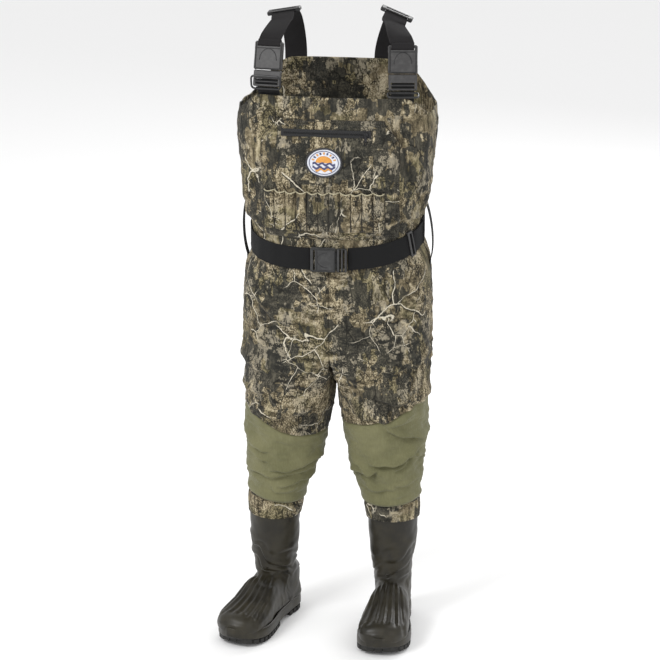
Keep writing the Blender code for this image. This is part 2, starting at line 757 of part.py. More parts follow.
# ---------------------------------------------------------------- suspenders
def buckle_place(side_name):
    """Frame of a suspender buckle: x down the strap, y across, z to the front."""
    side = SIDES[side_name]
    slope = math.radians(BUCKLE_SLOPE)
    turn = Matrix.Rotation(math.radians(BUCKLE_YAW) * side, 4, "Z")
    down = Vector((0, -math.sin(slope), -math.cos(slope)))
    out = Vector((0, -math.cos(slope), math.sin(slope)))
    place = Vector((side * STRAP_FRONT_X[side_name], BUCKLE_Y, BUCKLE_Z))
    return Matrix.Translation(place) @ turn @ frame_of(down, out, Vector())


STRAP_SOCKET = 0.062
STRAP_PLUG = 0.036


def crest_frame(side_name):
    """Centre of the crest's arc, the strap's direction across and the outward direction at the top."""
    side = SIDES[side_name]
    tilt = math.radians(CREST_TILT[side_name])
    across = Vector((math.cos(tilt), 0, -side * math.sin(tilt)))
    upward = Vector((side * math.sin(tilt), 0, math.cos(tilt)))
    top = Vector((side * STRAP_CREST_X[side_name], CREST_Y, CREST_Z))
    return top - upward * CREST_RADIUS, across, upward


def crest_arc(side_name, from_degrees, to_degrees, steps):
    centre, across, upward = crest_frame(side_name)
    points = []
    for angle in spread(math.radians(from_degrees), math.radians(to_degrees), steps):
        outward = upward * math.cos(angle) + Vector((0, 1, 0)) * math.sin(angle)
        points.append(centre + outward * CREST_RADIUS)
    return points


def strap_sides(points, start_across, end_across, hold_start=0, hold_end=0):
    """Directions across a strap, turning evenly and kept square to its path."""
    sides = []
    count = len(points)
    for i, point in enumerate(points):
        share = smooth((i - hold_start) / max(count - 1 - hold_start - hold_end, 1))
        wish = start_across.lerp(end_across, share)
        way = points[min(i + 1, count - 1)] - points[max(i - 1, 0)]
        normal = way.cross(wish).normalized()
        sides.append(normal.cross(way).normalized())
    sides[0], sides[-1] = start_across.normalized(), end_across.normalized()
    return sides


def make_suspender(side_name):
    side = SIDES[side_name]
    place = buckle_place(side_name)
    centre, across, upward = crest_frame(side_name)
    level = Vector((1, 0, 0))

    # back strap: from the sewn end on the back patch over the crest to just past the slider
    sewn_x = side * STRAP_BACK_X[side_name]
    sewn = [front_point(sewn_x, z, 0.0094, back=True)[0] for z in (1.236, 1.262, 1.288)]
    arc = crest_arc(side_name, 38, 0, 8)
    rise = hermite(sewn[-1] + Vector((0, 0.0006, 0.012)), Vector((0, 0.010, 0.09)), arc[0],
                   (arc[1] - arc[0]).normalized() * 0.09, 8)
    path = sewn + rise[:-1] + arc
    strap = ribbon(f"strap_back_{side_name}", path, strap_sides(path, level, across, 2, 8), WEBBING,
                   STRAP_THICK, "elastic")
    face_out(strap, centre - upward * 0.1)

    # front strap: from under the slider down to the buckle's socket
    end = (place @ Matrix.Translation((-STRAP_SOCKET - 0.0025, 0, 0))).translation
    down = place.to_3x3() @ Vector((1, 0, 0))
    buckle_across = place.to_3x3() @ Vector((0, 1, 0))
    if buckle_across.x < 0:
        buckle_across.negate()
    arc = crest_arc(side_name, -0.35, -28, 7)
    fall = hermite(arc[-1], (arc[-1] - arc[-2]).normalized() * 0.05, end, down * 0.05, 6)
    path = arc + fall[1:]
    strap = ribbon(f"strap_front_{side_name}", path, strap_sides(path, across, buckle_across, 7, 0), WEBBING,
                   STRAP_THICK, "elastic")
    face_out(strap, centre - upward * 0.1)

    # anchor strap: from the plug down behind the bib's top edge
    start = (place @ Matrix.Translation((STRAP_PLUG + 0.0008, 0, -0.002))).translation
    x = side * STRAP_FRONT_X[side_name]
    offsets = spread(-WEBBING / 2, WEBBING / 2, 5)
    rows = [[start + buckle_across * offset for offset in offsets]]
    for z in (BIB_FRONT + 0.004, BIB_FRONT - 0.012, BIB_FRONT - 0.032):
        rows.append([front_point(x + offset, z, -(CLOTH + 0.0034))[0] for offset in offsets])
    strap = loft(f"anchor_strap_{side_name}", rows, "webbing", inside=(x, 0.1, 1.25))
    solidify(strap, 0.0020, outward=True)

    make_buckle(f"buckle_{side_name}", 0.064, STRAP_SOCKET, STRAP_PLUG, 0.0125, place)
    make_slider(side_name)
    make_ring(side_name, place)


def make_slider(side_name):
    """Length adjuster on the crest; it slides along the strap, so it turns about the crest's arc."""
    centre, across, upward = crest_frame(side_name)
    place = frame_of(Vector((0, 1, 0)), upward, centre + upward * (CREST_RADIUS + STRAP_THICK / 2))
    slider = box(f"shoulder_slider_{side_name}", (0.026, 0.074, 0.0095), place, "moulded", bevel=0.0020)
    tunnel = box(f"slider_tunnel_{side_name}", (0.06, WEBBING + 0.004, STRAP_THICK + 0.0032),
                 place @ Matrix.Translation((0, 0, -0.0007)))
    window = box(f"slider_window_{side_name}", (0.0105, WEBBING + 0.003, 0.02),
                 place @ Matrix.Translation((0, 0, 0.0105)))
    lower = box(f"slider_lower_{side_name}", (0.0045, WEBBING + 0.0032, 0.02),
                place @ Matrix.Translation((0.0068, 0, -0.0105)))
    mirror = box(f"slider_lower_b_{side_name}", (0.0045, WEBBING + 0.0032, 0.02),
                 place @ Matrix.Translation((-0.0068, 0, -0.0105)))
    for cutter in (tunnel, window, lower, mirror):
        cut(slider, cutter)
    set_origin(slider, centre)


def make_ring(side_name, place):
    """Rectangular accessory ring that hangs from the plug's lower edge."""
    start = {"left": -68.0, "right": -158.0}[side_name]
    pivot = place @ Matrix.Translation((STRAP_PLUG + 0.0052, 0, 0.0052))
    swing = pivot @ Matrix.Rotation(math.radians(start), 4, "Y")
    wire, long_side, short_side = 0.0022, 0.066, 0.029
    outline = rounded_rectangle(short_side, long_side, 0.0075, 4)
    curve = bpy.data.curves.new(f"ring_{side_name}", "CURVE")
    curve.dimensions = "3D"
    curve.bevel_depth = wire
    curve.bevel_resolution = 2
    spline = curve.splines.new("POLY")
    spline.points.add(len(outline) - 1)
    for point, (x, y) in zip(spline.points, outline):
        point.co = (*(swing @ Vector((x + short_side / 2, y, 0.0))), 1.0)
    spline.use_cyclic_u = True
    ring = bpy.data.objects.new(f"accessory_ring_{side_name}", curve)
    parts.objects.link(ring)
    set_origin(ring, pivot.translation)
    give_material(ring, "moulded")


# ---------------------------------------------------------------- boots
def foot_matrix(side_name):
    x, turn = FEET[side_name]
    return Matrix.Translation((x, ANKLE_Y, 0)) @ Matrix.Rotation(math.radians(turn), 4, "Z")


# Boot forefoot: distance in front of the ankle, half width, height of the upper, shift to the inner side
FOREFOOT = (
    (0.090, 0.0470, 0.109, 0.001),
    (0.125, 0.0535, 0.088, 0.003),
    (0.165, 0.0555, 0.076, 0.005),
    (0.195, 0.0490, 0.068, 0.007),
    (0.215, 0.0360, 0.058, 0.009),
    (0.226, 0.0170, 0.042, 0.010),
)
# Sole: distance behind the ankle, half width, shift to the inner side
SOLE = (
    (BOOT_TOE, 0.0100, 0.010), (BOOT_TOE + 0.010, 0.0310, 0.010), (BOOT_TOE + 0.032, 0.0500, 0.008),
    (-0.160, 0.0590, 0.005), (-0.120, 0.0565, 0.003), (-0.060, 0.0450, 0.001), (0.0, 0.0405, 0.0),
    (0.040, 0.0405, 0.0), (0.062, 0.0330, 0.0), (BOOT_HEEL, 0.0140, 0.0),
)
# Boot shaft: height, half width, half depth
SHAFT = (
    (0.311, 0.0558, 0.0568),
    (0.225, 0.0556, 0.0574),
    (0.165, 0.0490, 0.0560),
    (0.136, 0.0440, 0.0545),
)
INSTEP_RADIUS = 0.020       # of the bend between shaft and instep
FLOOR_SQUARENESS = 5.5      # of the upper where it stands on the sole
TOE_SPRING = 0.012


def spring(y):
    """The sole rises in front of the ball of the foot."""
    ahead = max(-y - 0.135, 0.0) / 0.09
    return TOE_SPRING * ahead * ahead


def oval(half_width, top, bottom, squareness_top, squareness_bottom, count):
    """Section points (across, along) with along from top to bottom; the two ends differ in squareness."""
    points = []
    middle, half = (top + bottom) / 2, (bottom - top) / 2
    for i in range(count):
        turn = math.tau * i / count
        n = squareness_bottom if math.cos(turn) < 0 else squareness_top
        across = half_width * math.copysign(abs(math.sin(turn)) ** (2 / n), math.sin(turn))
        along = -half * math.copysign(abs(math.cos(turn)) ** (2 / n), math.cos(turn))
        points.append((across, middle + along))
    return points


def boot_rings(side_name, shrink, low, count, top=SHAFT_TOP):
    """Rings of a boot from the shaft's top round the heel to the toe; shrink makes an inner sock."""
    side = SIDES[side_name]
    rings = []
    for height in [h for h in (SHAFT_TOP, 0.225, 0.195, 0.165, 0.136) if h <= top]:
        half_width, half_depth = section_at(SHAFT, height)
        rings.append([Vector((a, -b, height)) for a, b in
                      oval(half_width - shrink, half_depth - shrink, -half_depth + shrink, 2.1, 2.1, count)])
    pivot_y, pivot_z = -SHAFT[-1][2] - INSTEP_RADIUS, SHAFT[-1][0]
    heel = BOOT_HEEL - 0.004 - shrink
    floor = low + shrink
    for degrees in (14, 26, 35, 41, 47, 56, 68, 80):
        angle = math.radians(degrees)
        reach_back = (heel - pivot_y) / math.cos(angle)
        reach_down = (pivot_z - floor) / math.sin(angle)
        reach = (reach_back ** -20 + reach_down ** -20) ** (-1 / 20)
        share = smooth(degrees / 90)
        flatness = mix(2.1, FLOOR_SQUARENESS, smooth((degrees - 20) / 36))
        half_width = mix(0.0440, 0.0385, math.sin(share * math.pi)) - shrink
        ring = []
        for a, b in oval(half_width, INSTEP_RADIUS + shrink, reach, 2.1, flatness, count):
            height = max(pivot_z - b * math.sin(angle), floor)
            ring.append(Vector((a, pivot_y + b * math.cos(angle), height)))
        rings.append(ring)
    for ahead, half_width, height, inward in FOREFOOT:
        ahead = ahead if ahead < 0.2 else ahead - shrink * 1.5
        ring = []
        for a, b in oval(half_width - shrink, -(height - shrink), -floor, 2.2, FLOOR_SQUARENESS, count):
            ring.append(Vector((a - side * inward, -ahead, max(-b, floor) + spring(-ahead))))
        rings.append(ring)
    return rings


def boot_shell(name, side_name, shrink, low, count, wall, look, top=SHAFT_TOP):
    rings = boot_rings(side_name, shrink, low, count, top)
    place = foot_matrix(side_name)
    rings = [[place @ point for point in ring] for ring in rings]
    shell = loft(name, rings, look, closed_rings=True, cap_end=True)
    face_out(shell, place @ Vector((0, -0.03, 0.10)))
    solidify(shell, wall)
    return shell


def sole_plate(name, side_name, look, top, thickness, narrower=0.0, shorter=0.0, steps=24):
    """A plate with the sole's outline, in rows across the foot, below the height of its top."""
    side = SIDES[side_name]
    place = foot_matrix(side_name)
    middle = (BOOT_TOE + BOOT_HEEL) / 2
    rows = []
    for turn in spread(math.radians(14), math.radians(166), steps):
        y = mix(BOOT_TOE, BOOT_HEEL, (1 - math.cos(turn)) / 2)
        half_width, inward = section_at(SOLE, y)
        half_width *= 1.0 - narrower
        y = middle + (y - middle) * (1.0 - shorter)
        rows.append([place @ Vector((share * half_width - side * inward, y, top)) for share in (-1, 0, 1)])
    plate = loft(name, rows, look)
    face_out(plate, place @ Vector((0, 0, top - 1.0)))
    solidify(plate, thickness)
    plate.data.shade_flat()
    return plate


def make_sole(side_name):
    """Outsole with a heel block, cross lugs and a pocket for the shank."""
    place = foot_matrix(side_name)
    sole = sole_plate(f"outsole_{side_name}", side_name, "outsole", SOLE_TOP - GAP, SOLE_TOP - GAP)
    cut_depth = SOLE_TREAD * 2
    cuts = [("arch", -0.045, 0.052, SOLE_TREAD * 2)]
    cuts += [(f"groove_{i}", -0.090 - 0.021 * i, 0.006, cut_depth * 0.55) for i in range(6)]
    cuts += [(f"heel_groove_{i}", 0.005 + 0.020 * i, 0.005, cut_depth * 0.55) for i in range(3)]
    for label, y, width, depth in cuts:
        cutter = box(f"{label}_{side_name}", (0.2, width, depth), place @ Matrix.Translation((0, y, 0)))
        cut(sole, cutter)
    shank_slot = box(f"shank_slot_{side_name}", (0.0168, 0.1008, 0.0042),
                     place @ Matrix.Translation((0, -0.045, SOLE_TOP - 0.0016)))
    cut(sole, shank_slot)
    apply_and_bend(sole, place)
    box(f"shank_{side_name}", (0.016, 0.100, 0.0018),
        place @ Matrix.Translation((0, -0.045, SOLE_TOP - 0.0024)), "steel", bevel=0.0005)
    insole_top = SOLE_TOP + RUBBER + 0.0044
    insole = sole_plate(f"insole_{side_name}", side_name, "foam", insole_top, 0.0026,
                        narrower=0.40, shorter=0.18)
    apply_and_bend(insole, place)


def apply_and_bend(obj, place):
    """Applies the modifiers of a flat piece and then lifts its front along the toe spring."""
    bpy.context.view_layer.update()
    evaluated = obj.evaluated_get(bpy.context.evaluated_depsgraph_get())
    mesh = bpy.data.meshes.new_from_object(evaluated)
    obj.modifiers.clear()
    obj.data = mesh
    back = place.inverted()
    for vertex in mesh.vertices:
        vertex.co.z += spring((back @ vertex.co).y)


def make_boot(side_name):
    boot_shell(f"boot_upper_{side_name}", side_name, 0.0, SOLE_TOP, 16, RUBBER, "rubber")
    make_sole(side_name)
    shrink = RUBBER + 0.0022
    boot_shell(f"boot_liner_{side_name}", side_name, shrink, 0.0312 - shrink, 12, 0.002, "lining",
               top=0.23)


# ---------------------------------------------------------------- the whole garment
def stand_on_origin():
    """Moves everything so that the origin is the middle of the footprint, with the soles on z = 0."""
    bpy.context.view_layer.update()
    graph = bpy.context.evaluated_depsgraph_get()
    low, high = Vector((9, 9, 9)), Vector((-9, -9, -9))
    for obj in parts.objects:
        if obj.type == "EMPTY":
            continue
        shape = obj.evaluated_get(graph)
        mesh = shape.to_mesh()
        for vertex in mesh.vertices:
            place = shape.matrix_world @ vertex.co
            for i in range(3):
                low[i] = min(low[i], place[i])
                high[i] = max(high[i], place[i])
        shape.to_mesh_clear()
    shift = Vector((-(low.x + high.x) / 2, -(low.y + high.y) / 2, -low.z))
    for obj in list(parts.objects) + list(cutters.objects):
        if obj.parent is None:
            obj.location += shift
    bpy.context.view_layer.update()
    return shift


def build():
    for obj in list(bpy.data.objects):
        bpy.data.objects.remove(obj)
    bpy.context.scene.collection.children.link(parts)
    bpy.context.scene.collection.children.link(cutters)
    make_cloth()
    make_bib_pieces()
    make_zip()
    make_belt()
    for side_name in SIDES:
        make_suspender(side_name)
        make_boot(side_name)
    stand_on_origin()


build()
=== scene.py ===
"""The looks of the chest waders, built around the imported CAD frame."""

import json
import math

import bmesh
import bpy
import numpy as np
from mathutils import Matrix, Vector


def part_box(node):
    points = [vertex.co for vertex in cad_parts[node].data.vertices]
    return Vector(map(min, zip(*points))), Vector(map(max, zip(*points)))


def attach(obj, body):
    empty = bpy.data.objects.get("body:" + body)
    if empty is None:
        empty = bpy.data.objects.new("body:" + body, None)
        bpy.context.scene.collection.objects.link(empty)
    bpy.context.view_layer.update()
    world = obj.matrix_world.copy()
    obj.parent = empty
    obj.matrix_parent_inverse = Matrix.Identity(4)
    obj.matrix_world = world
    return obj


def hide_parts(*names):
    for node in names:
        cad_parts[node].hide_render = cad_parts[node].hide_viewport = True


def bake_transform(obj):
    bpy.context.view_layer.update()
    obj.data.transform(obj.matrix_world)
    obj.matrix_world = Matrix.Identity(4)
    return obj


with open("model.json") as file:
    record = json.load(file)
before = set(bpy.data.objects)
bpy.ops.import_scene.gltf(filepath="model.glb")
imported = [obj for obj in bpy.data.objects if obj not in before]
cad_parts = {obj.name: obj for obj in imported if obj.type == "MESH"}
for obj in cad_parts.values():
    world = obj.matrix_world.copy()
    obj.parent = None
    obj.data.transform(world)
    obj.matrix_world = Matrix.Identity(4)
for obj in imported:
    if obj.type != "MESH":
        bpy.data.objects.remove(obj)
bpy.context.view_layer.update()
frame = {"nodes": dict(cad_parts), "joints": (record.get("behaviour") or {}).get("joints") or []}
BODY = "garment"
SIDES = {"left": 1, "right": -1}
JOINTS = {joint["name"]: joint for joint in frame["joints"]}

# ---------------------------------------------------------------- sizes that the CAD model has
TORSO = np.array((
    (0.56, 0.2100, 0.140, 0.138, 2.5), (0.70, 0.2135, 0.146, 0.146, 2.5), (0.80, 0.2125, 0.148, 0.148, 2.5),
    (0.855, 0.206, 0.145, 0.142, 2.5), (0.889, 0.1915, 0.138, 0.126, 2.6),
    (0.956, 0.1915, 0.138, 0.126, 2.6),
    (0.994, 0.204, 0.148, 0.129, 2.7), (1.05, 0.211, 0.150, 0.131, 2.8), (1.12, 0.217, 0.145, 0.132, 3.0),
    (1.19, 0.2205, 0.136, 0.131, 3.2), (1.31, 0.203, 0.114, 0.126, 3.2),
))
LEG = np.array((
    (0.262, 0.1375, 0.0634, 0.0660, -0.015), (0.310, 0.133, 0.0655, 0.0700, -0.014),
    (0.335, 0.128, 0.071, 0.078, -0.010), (0.373, 0.122, 0.081, 0.089, -0.006),
    (0.42, 0.116, 0.089, 0.098, -0.003),
    (0.47, 0.114, 0.096, 0.106, 0.000), (0.54, 0.108, 0.102, 0.118, 0.000),
    (0.62, 0.107, 0.105, 0.128, 0.000),
))
LEG_SWAY = -0.0065
BIB_FRONT, BIB_SIDE, BIB_BACK = 1.262, 1.222, 1.300
CROTCH, CROTCH_DIP, FORK_BLEND, FORK_ANGLE = 0.685, 0.035, 0.15, 55.0
OLIVE_TOP = {"left": 0.500, "right": 0.467}
OLIVE_RISE = {"left": 0.060, "right": 0.068}
CUFF_TOP, CUFF_BOTTOM = 0.316, 0.262
WEBBING = 0.050
BELT_FRONT, BELT_RISE, BELT_TILT, WAIST = 0.903, 0.0375, 0.009, 0.9225
BELT_THICK, BELT_LIFT = 0.002, 0.0032
LIGHT_TAPE = 0.0018          # thinner webbing: belt loops, belt tail, straps' anchors
WRAP_THICK = 0.0015          # webbing where it is led round a buckle's bars
WRAP_MARGIN = 0.0006         # it is this much narrower there than the webbing
STRAP_THICK = 0.0024
STRAP_FRONT_X = {"left": 0.156, "right": 0.139}
STRAP_CREST_X = {"left": 0.128, "right": 0.121}
STRAP_BACK_X = {"left": 0.088, "right": 0.112}
CREST_TILT = {"left": 22.0, "right": 10.0}
CREST_RADIUS, CREST_Y, CREST_Z = 0.092, 0.012, 1.423
BUCKLE_SLOPE, BUCKLE_YAW, BUCKLE_Y, BUCKLE_Z = 15.0, 8.0, -0.108, 1.316
ZIP_FROM, ZIP_TO, ZIP_Z = -0.106, 0.092, 1.187
FEET = {"left": (0.131, 1.0), "right": (-0.144, -20.0)}
ANKLE_Y = -0.015
POCKET_LIFT, POCKET_THICK = 0.0022, 0.0030


# The garment's own middle line stands here in the frame
_tilt = math.radians(CREST_TILT["left"])
_crest = Vector((STRAP_CREST_X["left"] - CREST_RADIUS * math.sin(_tilt), CREST_Y,
                 CREST_Z - CREST_RADIUS * math.cos(_tilt)))
SHIFT = Vector(JOINTS["shoulder_slider_left_slide"]["pos_m"]) - _crest
SHIFT.z = 0.0


# ---------------------------------------------------------------- camera, light and floor
def make_stage():
    scene = bpy.context.scene
    target = Vector((-0.018, 0.0, 0.695)) + SHIFT
    azimuth = math.radians(8.0)
    camera = bpy.data.cameras.new("camera")
    camera.lens = 151.0
    camera.sensor_width = 36.0
    eye = bpy.data.objects.new("camera", camera)
    eye.location = target + Vector((6.0 * math.sin(azimuth), -6.0 * math.cos(azimuth), 1.890))
    eye.rotation_euler = (target - eye.location).to_track_quat("-Z", "Y").to_euler()
    scene.collection.objects.link(eye)
    scene.camera = eye

    world = bpy.data.worlds.new("studio")
    scene.world = world
    world.use_nodes = True
    sky = world.node_tree.nodes["Background"]
    sky.inputs["Color"].default_value = (1.0, 1.0, 1.0, 1.0)
    sky.inputs["Strength"].default_value = 0.90
    lights = (
        ("key", (-2.4, -3.2, 3.8), 1.6, 120.0),
        ("fill", (3.2, -2.6, 2.2), 2.6, 22.0),
        ("rim", (1.2, 3.4, 2.8), 2.0, 60.0),
    )
    for name, place, size, power in lights:
        light = bpy.data.lights.new(name, "AREA")
        light.size = size
        light.energy = power
        lamp = bpy.data.objects.new(name, light)
        lamp.location = Vector(place) + SHIFT
        lamp.rotation_euler = (target - lamp.location).to_track_quat("-Z", "Y").to_euler()
        scene.collection.objects.link(lamp)

    bpy.ops.mesh.primitive_plane_add(size=30.0, location=(0, 0, -0.0005))
    floor = bpy.context.object
    floor.name = "floor"
    paper = bpy.data.materials.new("paper")
    paper.use_nodes = True
    shader = paper.node_tree.nodes["Principled BSDF"]
    shader.inputs["Base Color"].default_value = (0.93, 0.93, 0.93, 1.0)
    shader.inputs["Roughness"].default_value = 0.9
    floor.data.materials.append(paper)
    scene.view_settings.view_transform = "Standard"


# ---------------------------------------------------------------- numbers
def smooth(t):
    t = np.clip(t, 0.0, 1.0)
    return t * t * (3.0 - 2.0 * t)


def mix(a, b, t):
    return a + (b - a) * t


def bell(d, width):
    return np.exp(-(d / width) ** 2)


def sections(stations, height):
    """Each section value at each height, on the same smooth curve that the CAD model uses."""
    rows = stations[np.argsort(stations[:, 0])]
    heights = rows[:, 0]
    height = np.asarray(height, float)
    inside = np.clip(height, heights[0], heights[-1] - 1e-9)
    k = np.clip(np.searchsorted(heights, inside, side="right") - 1, 0, len(rows) - 2)
    low, high = rows[k], rows[k + 1]
    before, after = rows[np.maximum(k - 1, 0)], rows[np.minimum(k + 2, len(rows) - 1)]
    span = high[..., :1] - low[..., :1]
    t = (inside[..., None] - low[..., :1]) / span
    rise_low = (high - before) / (high[..., :1] - before[..., :1]) * span
    rise_high = (after - low) / (after[..., :1] - low[..., :1]) * span
    value = (low * (1 + 2 * t) * (1 - t) ** 2 + rise_low * t * (1 - t) ** 2
             + high * t * t * (3 - 2 * t) - rise_high * t * t * (1 - t))
    return [value[..., i] for i in range(1, rows.shape[1])]


def waves(points, seed, wavelength, count=14, stretch=(1.0, 1.0, 1.0)):
    """Smooth seeded noise from about -1 to 1: a sum of sines in random directions."""
    random = np.random.default_rng(seed)
    total = np.zeros(points.shape[:-1])
    for _ in range(count):
        way = random.normal(size=3)
        way /= np.linalg.norm(way)
        pitch = wavelength * random.uniform(0.6, 1.6)
        phase = random.uniform(0, math.tau)
        total += np.sin((points * np.array(stretch)) @ way * math.tau / pitch + phase)
    return total / math.sqrt(count * 0.9)


# ---------------------------------------------------------------- the garment's surface
def belt_height(u, side):
    turn = math.pi * u
    return BELT_FRONT + BELT_RISE * (1 - np.cos(turn)) + BELT_TILT * side * np.sin(turn)


def signed_power(value, power):
    return np.sign(value) * np.abs(value) ** power


def torso_sections(u, side, z):
    belt = belt_height(u, side)
    return sections(TORSO, z - (belt - WAIST) * np.exp(-((z - belt) / 0.20) ** 2))


def torso_base(u, side, z):
    half_width, front, back, squareness = torso_sections(u, side, z)
    turn = math.pi * u
    power = 2.0 / squareness
    x = side * half_width * signed_power(np.sin(turn), power)
    reach = np.where(np.cos(turn) > 0, -front, back)
    return np.stack([x, reach * np.abs(np.cos(turn)) ** power, z], -1)


def leg_turn(u):
    outer = mix(-FORK_ANGLE, 180 + FORK_ANGLE, u)
    inner = mix(180 + FORK_ANGLE, 360 - FORK_ANGLE, u - 1.0)
    return np.radians(np.where(u <= 1.0, outer, inner))


def leg_base(u, side, z):
    middle, half_width, half_depth, y = sections(LEG, z)
    turn = leg_turn(u)
    sway = LEG_SWAY * smooth((CROTCH - z) / (CROTCH - CUFF_BOTTOM))
    return np.stack([side * (middle + half_width * np.sin(turn)) + sway,
                     y - half_depth * np.cos(turn), z], -1)


def fork_base(u, side, z):
    half_torso = torso_base(np.where(u <= 1.0, u, 1.0), side, z)
    s = np.clip(u - 1.0, 0.0, 1.0)
    front, back = torso_base(np.zeros_like(u), side, z), torso_base(np.ones_like(u), side, z)
    above = np.maximum(1.0 - (CROTCH - z) / FORK_BLEND, 0.0)
    height = np.where(u > 1.0, z - CROTCH_DIP * np.sin(math.pi * s) * above * above, z)
    wall = np.stack([np.full_like(z, side * 0.0006), mix(back[..., 1], front[..., 1], s), height], -1)
    start = np.where((u > 1.0)[..., None], wall, half_torso)
    weight = smooth((CROTCH - z) / FORK_BLEND)[..., None]
    leg = leg_base(u, side, z)
    leg[..., 2] = height
    return mix(start, leg, weight)


def base_point(u, side, z):
    u, z = np.broadcast_arrays(np.asarray(u, float), np.asarray(z, float))
    if np.min(z) >= CROTCH:
        return torso_base(u, side, z)
    on_torso = (z >= CROTCH) & (u < 1.01)
    return np.where(on_torso[..., None], torso_base(u, side, z), fork_base(u, side, z))


def surface_normal(u, side, z):
    du, dz = 0.003, 0.002
    along = base_point(u + du, side, z) - base_point(u - du, side, z)
    down = base_point(u, side, z + dz) - base_point(u, side, z - dz)
    normal = np.cross(along, down) * np.asarray(side, float)[..., None]
    return normal / np.maximum(np.linalg.norm(normal, axis=-1, keepdims=True), 1e-9)


# Folds: ends as x and height seen from the front, half width, height, and whether at the back.
# A fold is a soft ridge with a hollow under it; both fade out at its ends.
FOLDS = (
    # olive knees, wearer's right
    (-0.204, 0.472, -0.150, 0.437, 0.008, 0.0075, 0), (-0.194, 0.446, -0.150, 0.410, 0.008, 0.0060, 0),
    (-0.135, 0.392, -0.030, 0.420, 0.009, 0.0085, 0), (-0.195, 0.382, -0.045, 0.388, 0.008, 0.0075, 0),
    (-0.135, 0.338, -0.090, 0.330, 0.007, 0.0045, 0), (-0.120, 0.350, -0.055, 0.356, 0.008, 0.0040, 0),
    # olive knees, wearer's left
    (0.130, 0.504, 0.212, 0.476, 0.009, 0.0075, 0), (0.098, 0.410, 0.200, 0.462, 0.008, 0.0095, 0),
    (0.146, 0.398, 0.182, 0.448, 0.006, 0.0055, 0), (0.040, 0.388, 0.096, 0.392, 0.007, 0.0080, 0),
    (0.040, 0.418, 0.094, 0.390, 0.007, 0.0060, 0), (0.180, 0.438, 0.208, 0.410, 0.006, 0.0050, 0),
    (0.075, 0.350, 0.140, 0.354, 0.008, 0.0035, 0), (0.150, 0.362, 0.195, 0.375, 0.007, 0.0045, 0),
    # thighs
    (-0.215, 0.662, -0.130, 0.640, 0.016, 0.0065, 0), (-0.215, 0.585, -0.120, 0.600, 0.016, 0.0070, 0),
    (0.125, 0.655, 0.215, 0.675, 0.016, 0.0065, 0), (0.110, 0.592, 0.215, 0.570, 0.016, 0.0075, 0),
    (-0.175, 0.530, -0.045, 0.548, 0.014, 0.0055, 0), (0.055, 0.545, 0.180, 0.528, 0.014, 0.0055, 0),
    (-0.010, 0.700, -0.110, 0.760, 0.014, 0.0050, 0), (0.010, 0.700, 0.120, 0.770, 0.014, 0.0050, 0),
    (-0.015, 0.660, -0.090, 0.610, 0.013, 0.0050, 0), (0.015, 0.660, 0.090, 0.605, 0.013, 0.0050, 0),
    (-0.190, 0.840, -0.120, 0.770, 0.014, 0.0045, 0), (0.185, 0.845, 0.130, 0.760, 0.014, 0.0045, 0),
    # bib
    (-0.205, 1.020, -0.165, 1.180, 0.012, 0.0040, 0), (0.205, 1.010, 0.170, 1.170, 0.012, 0.0040, 0),
    (-0.200, 0.985, -0.120, 1.000, 0.010, 0.0045, 0), (0.205, 0.990, 0.130, 0.985, 0.010, 0.0045, 0),
    # back of the legs and seat
    (-0.195, 0.455, -0.060, 0.440, 0.014, 0.0080, 1), (-0.200, 0.405, -0.070, 0.420, 0.013, 0.0085, 1),
    (-0.190, 0.360, -0.080, 0.350, 0.012, 0.0070, 1), (0.060, 0.445, 0.195, 0.460, 0.014, 0.0080, 1),
    (0.070, 0.415, 0.200, 0.400, 0.013, 0.0085, 1), (0.080, 0.352, 0.190, 0.362, 0.012, 0.0070, 1),
    (-0.190, 0.640, -0.050, 0.665, 0.018, 0.0070, 1), (0.050, 0.665, 0.190, 0.645, 0.018, 0.0070, 1),
    (-0.180, 0.560, -0.060, 0.580, 0.016, 0.0060, 1), (0.060, 0.575, 0.190, 0.555, 0.016, 0.0060, 1),
    (-0.160, 0.930, -0.110, 1.150, 0.016, 0.0050, 1), (0.160, 0.940, 0.120, 1.140, 0.016, 0.0050, 1),
    (-0.100, 0.830, -0.030, 0.740, 0.018, 0.0060, 1), (0.100, 0.830, 0.030, 0.745, 0.018, 0.0060, 1),
)


CREASE = 0.0030             # half width of the sharp line under a fold


def fold_lift(points):
    """How far the cloth stands off its plain shape, from the folds and from wrinkles all over."""
    x, y, z = points[..., 0], points[..., 1], points[..., 2]
    total = np.zeros(x.shape)
    wander = waves(points, 5, 0.09, 10) * 0.004
    for x0, z0, x1, z1, width, height, behind in FOLDS:
        length = math.hypot(x1 - x0, z1 - z0)
        ax, az = (x1 - x0) / length, (z1 - z0) / length
        t = ((x - x0) * ax + (z - z0) * az) / length
        bow = min(0.010, 0.10 * length) * (1 - (2 * t - 1) ** 2)
        off = -(x - x0) * az + (z - z0) * ax + bow + wander
        if ax < 0:
            off = -off
        window = smooth((t + 0.22) / 0.35) * smooth((1.22 - t) / 0.35)
        face = smooth((y + 0.035) / 0.07) if behind else smooth((0.035 - y) / 0.07)
        ridge = bell(off, width) - 0.55 * bell(off + 1.7 * width, width * 0.9)
        ridge = ridge - 0.42 * bell(off + 1.25 * width, CREASE)
        total += height * ridge * window * face
    loose = 0.55 + 0.45 * smooth((0.86 - z) / 0.2)
    total += 0.0016 * loose * waves(points, 11, 0.055, 16, (1.0, 1.0, 1.5))
    total += 0.0007 * loose * waves(points, 12, 0.022, 16, (1.0, 1.0, 1.4))
    return total


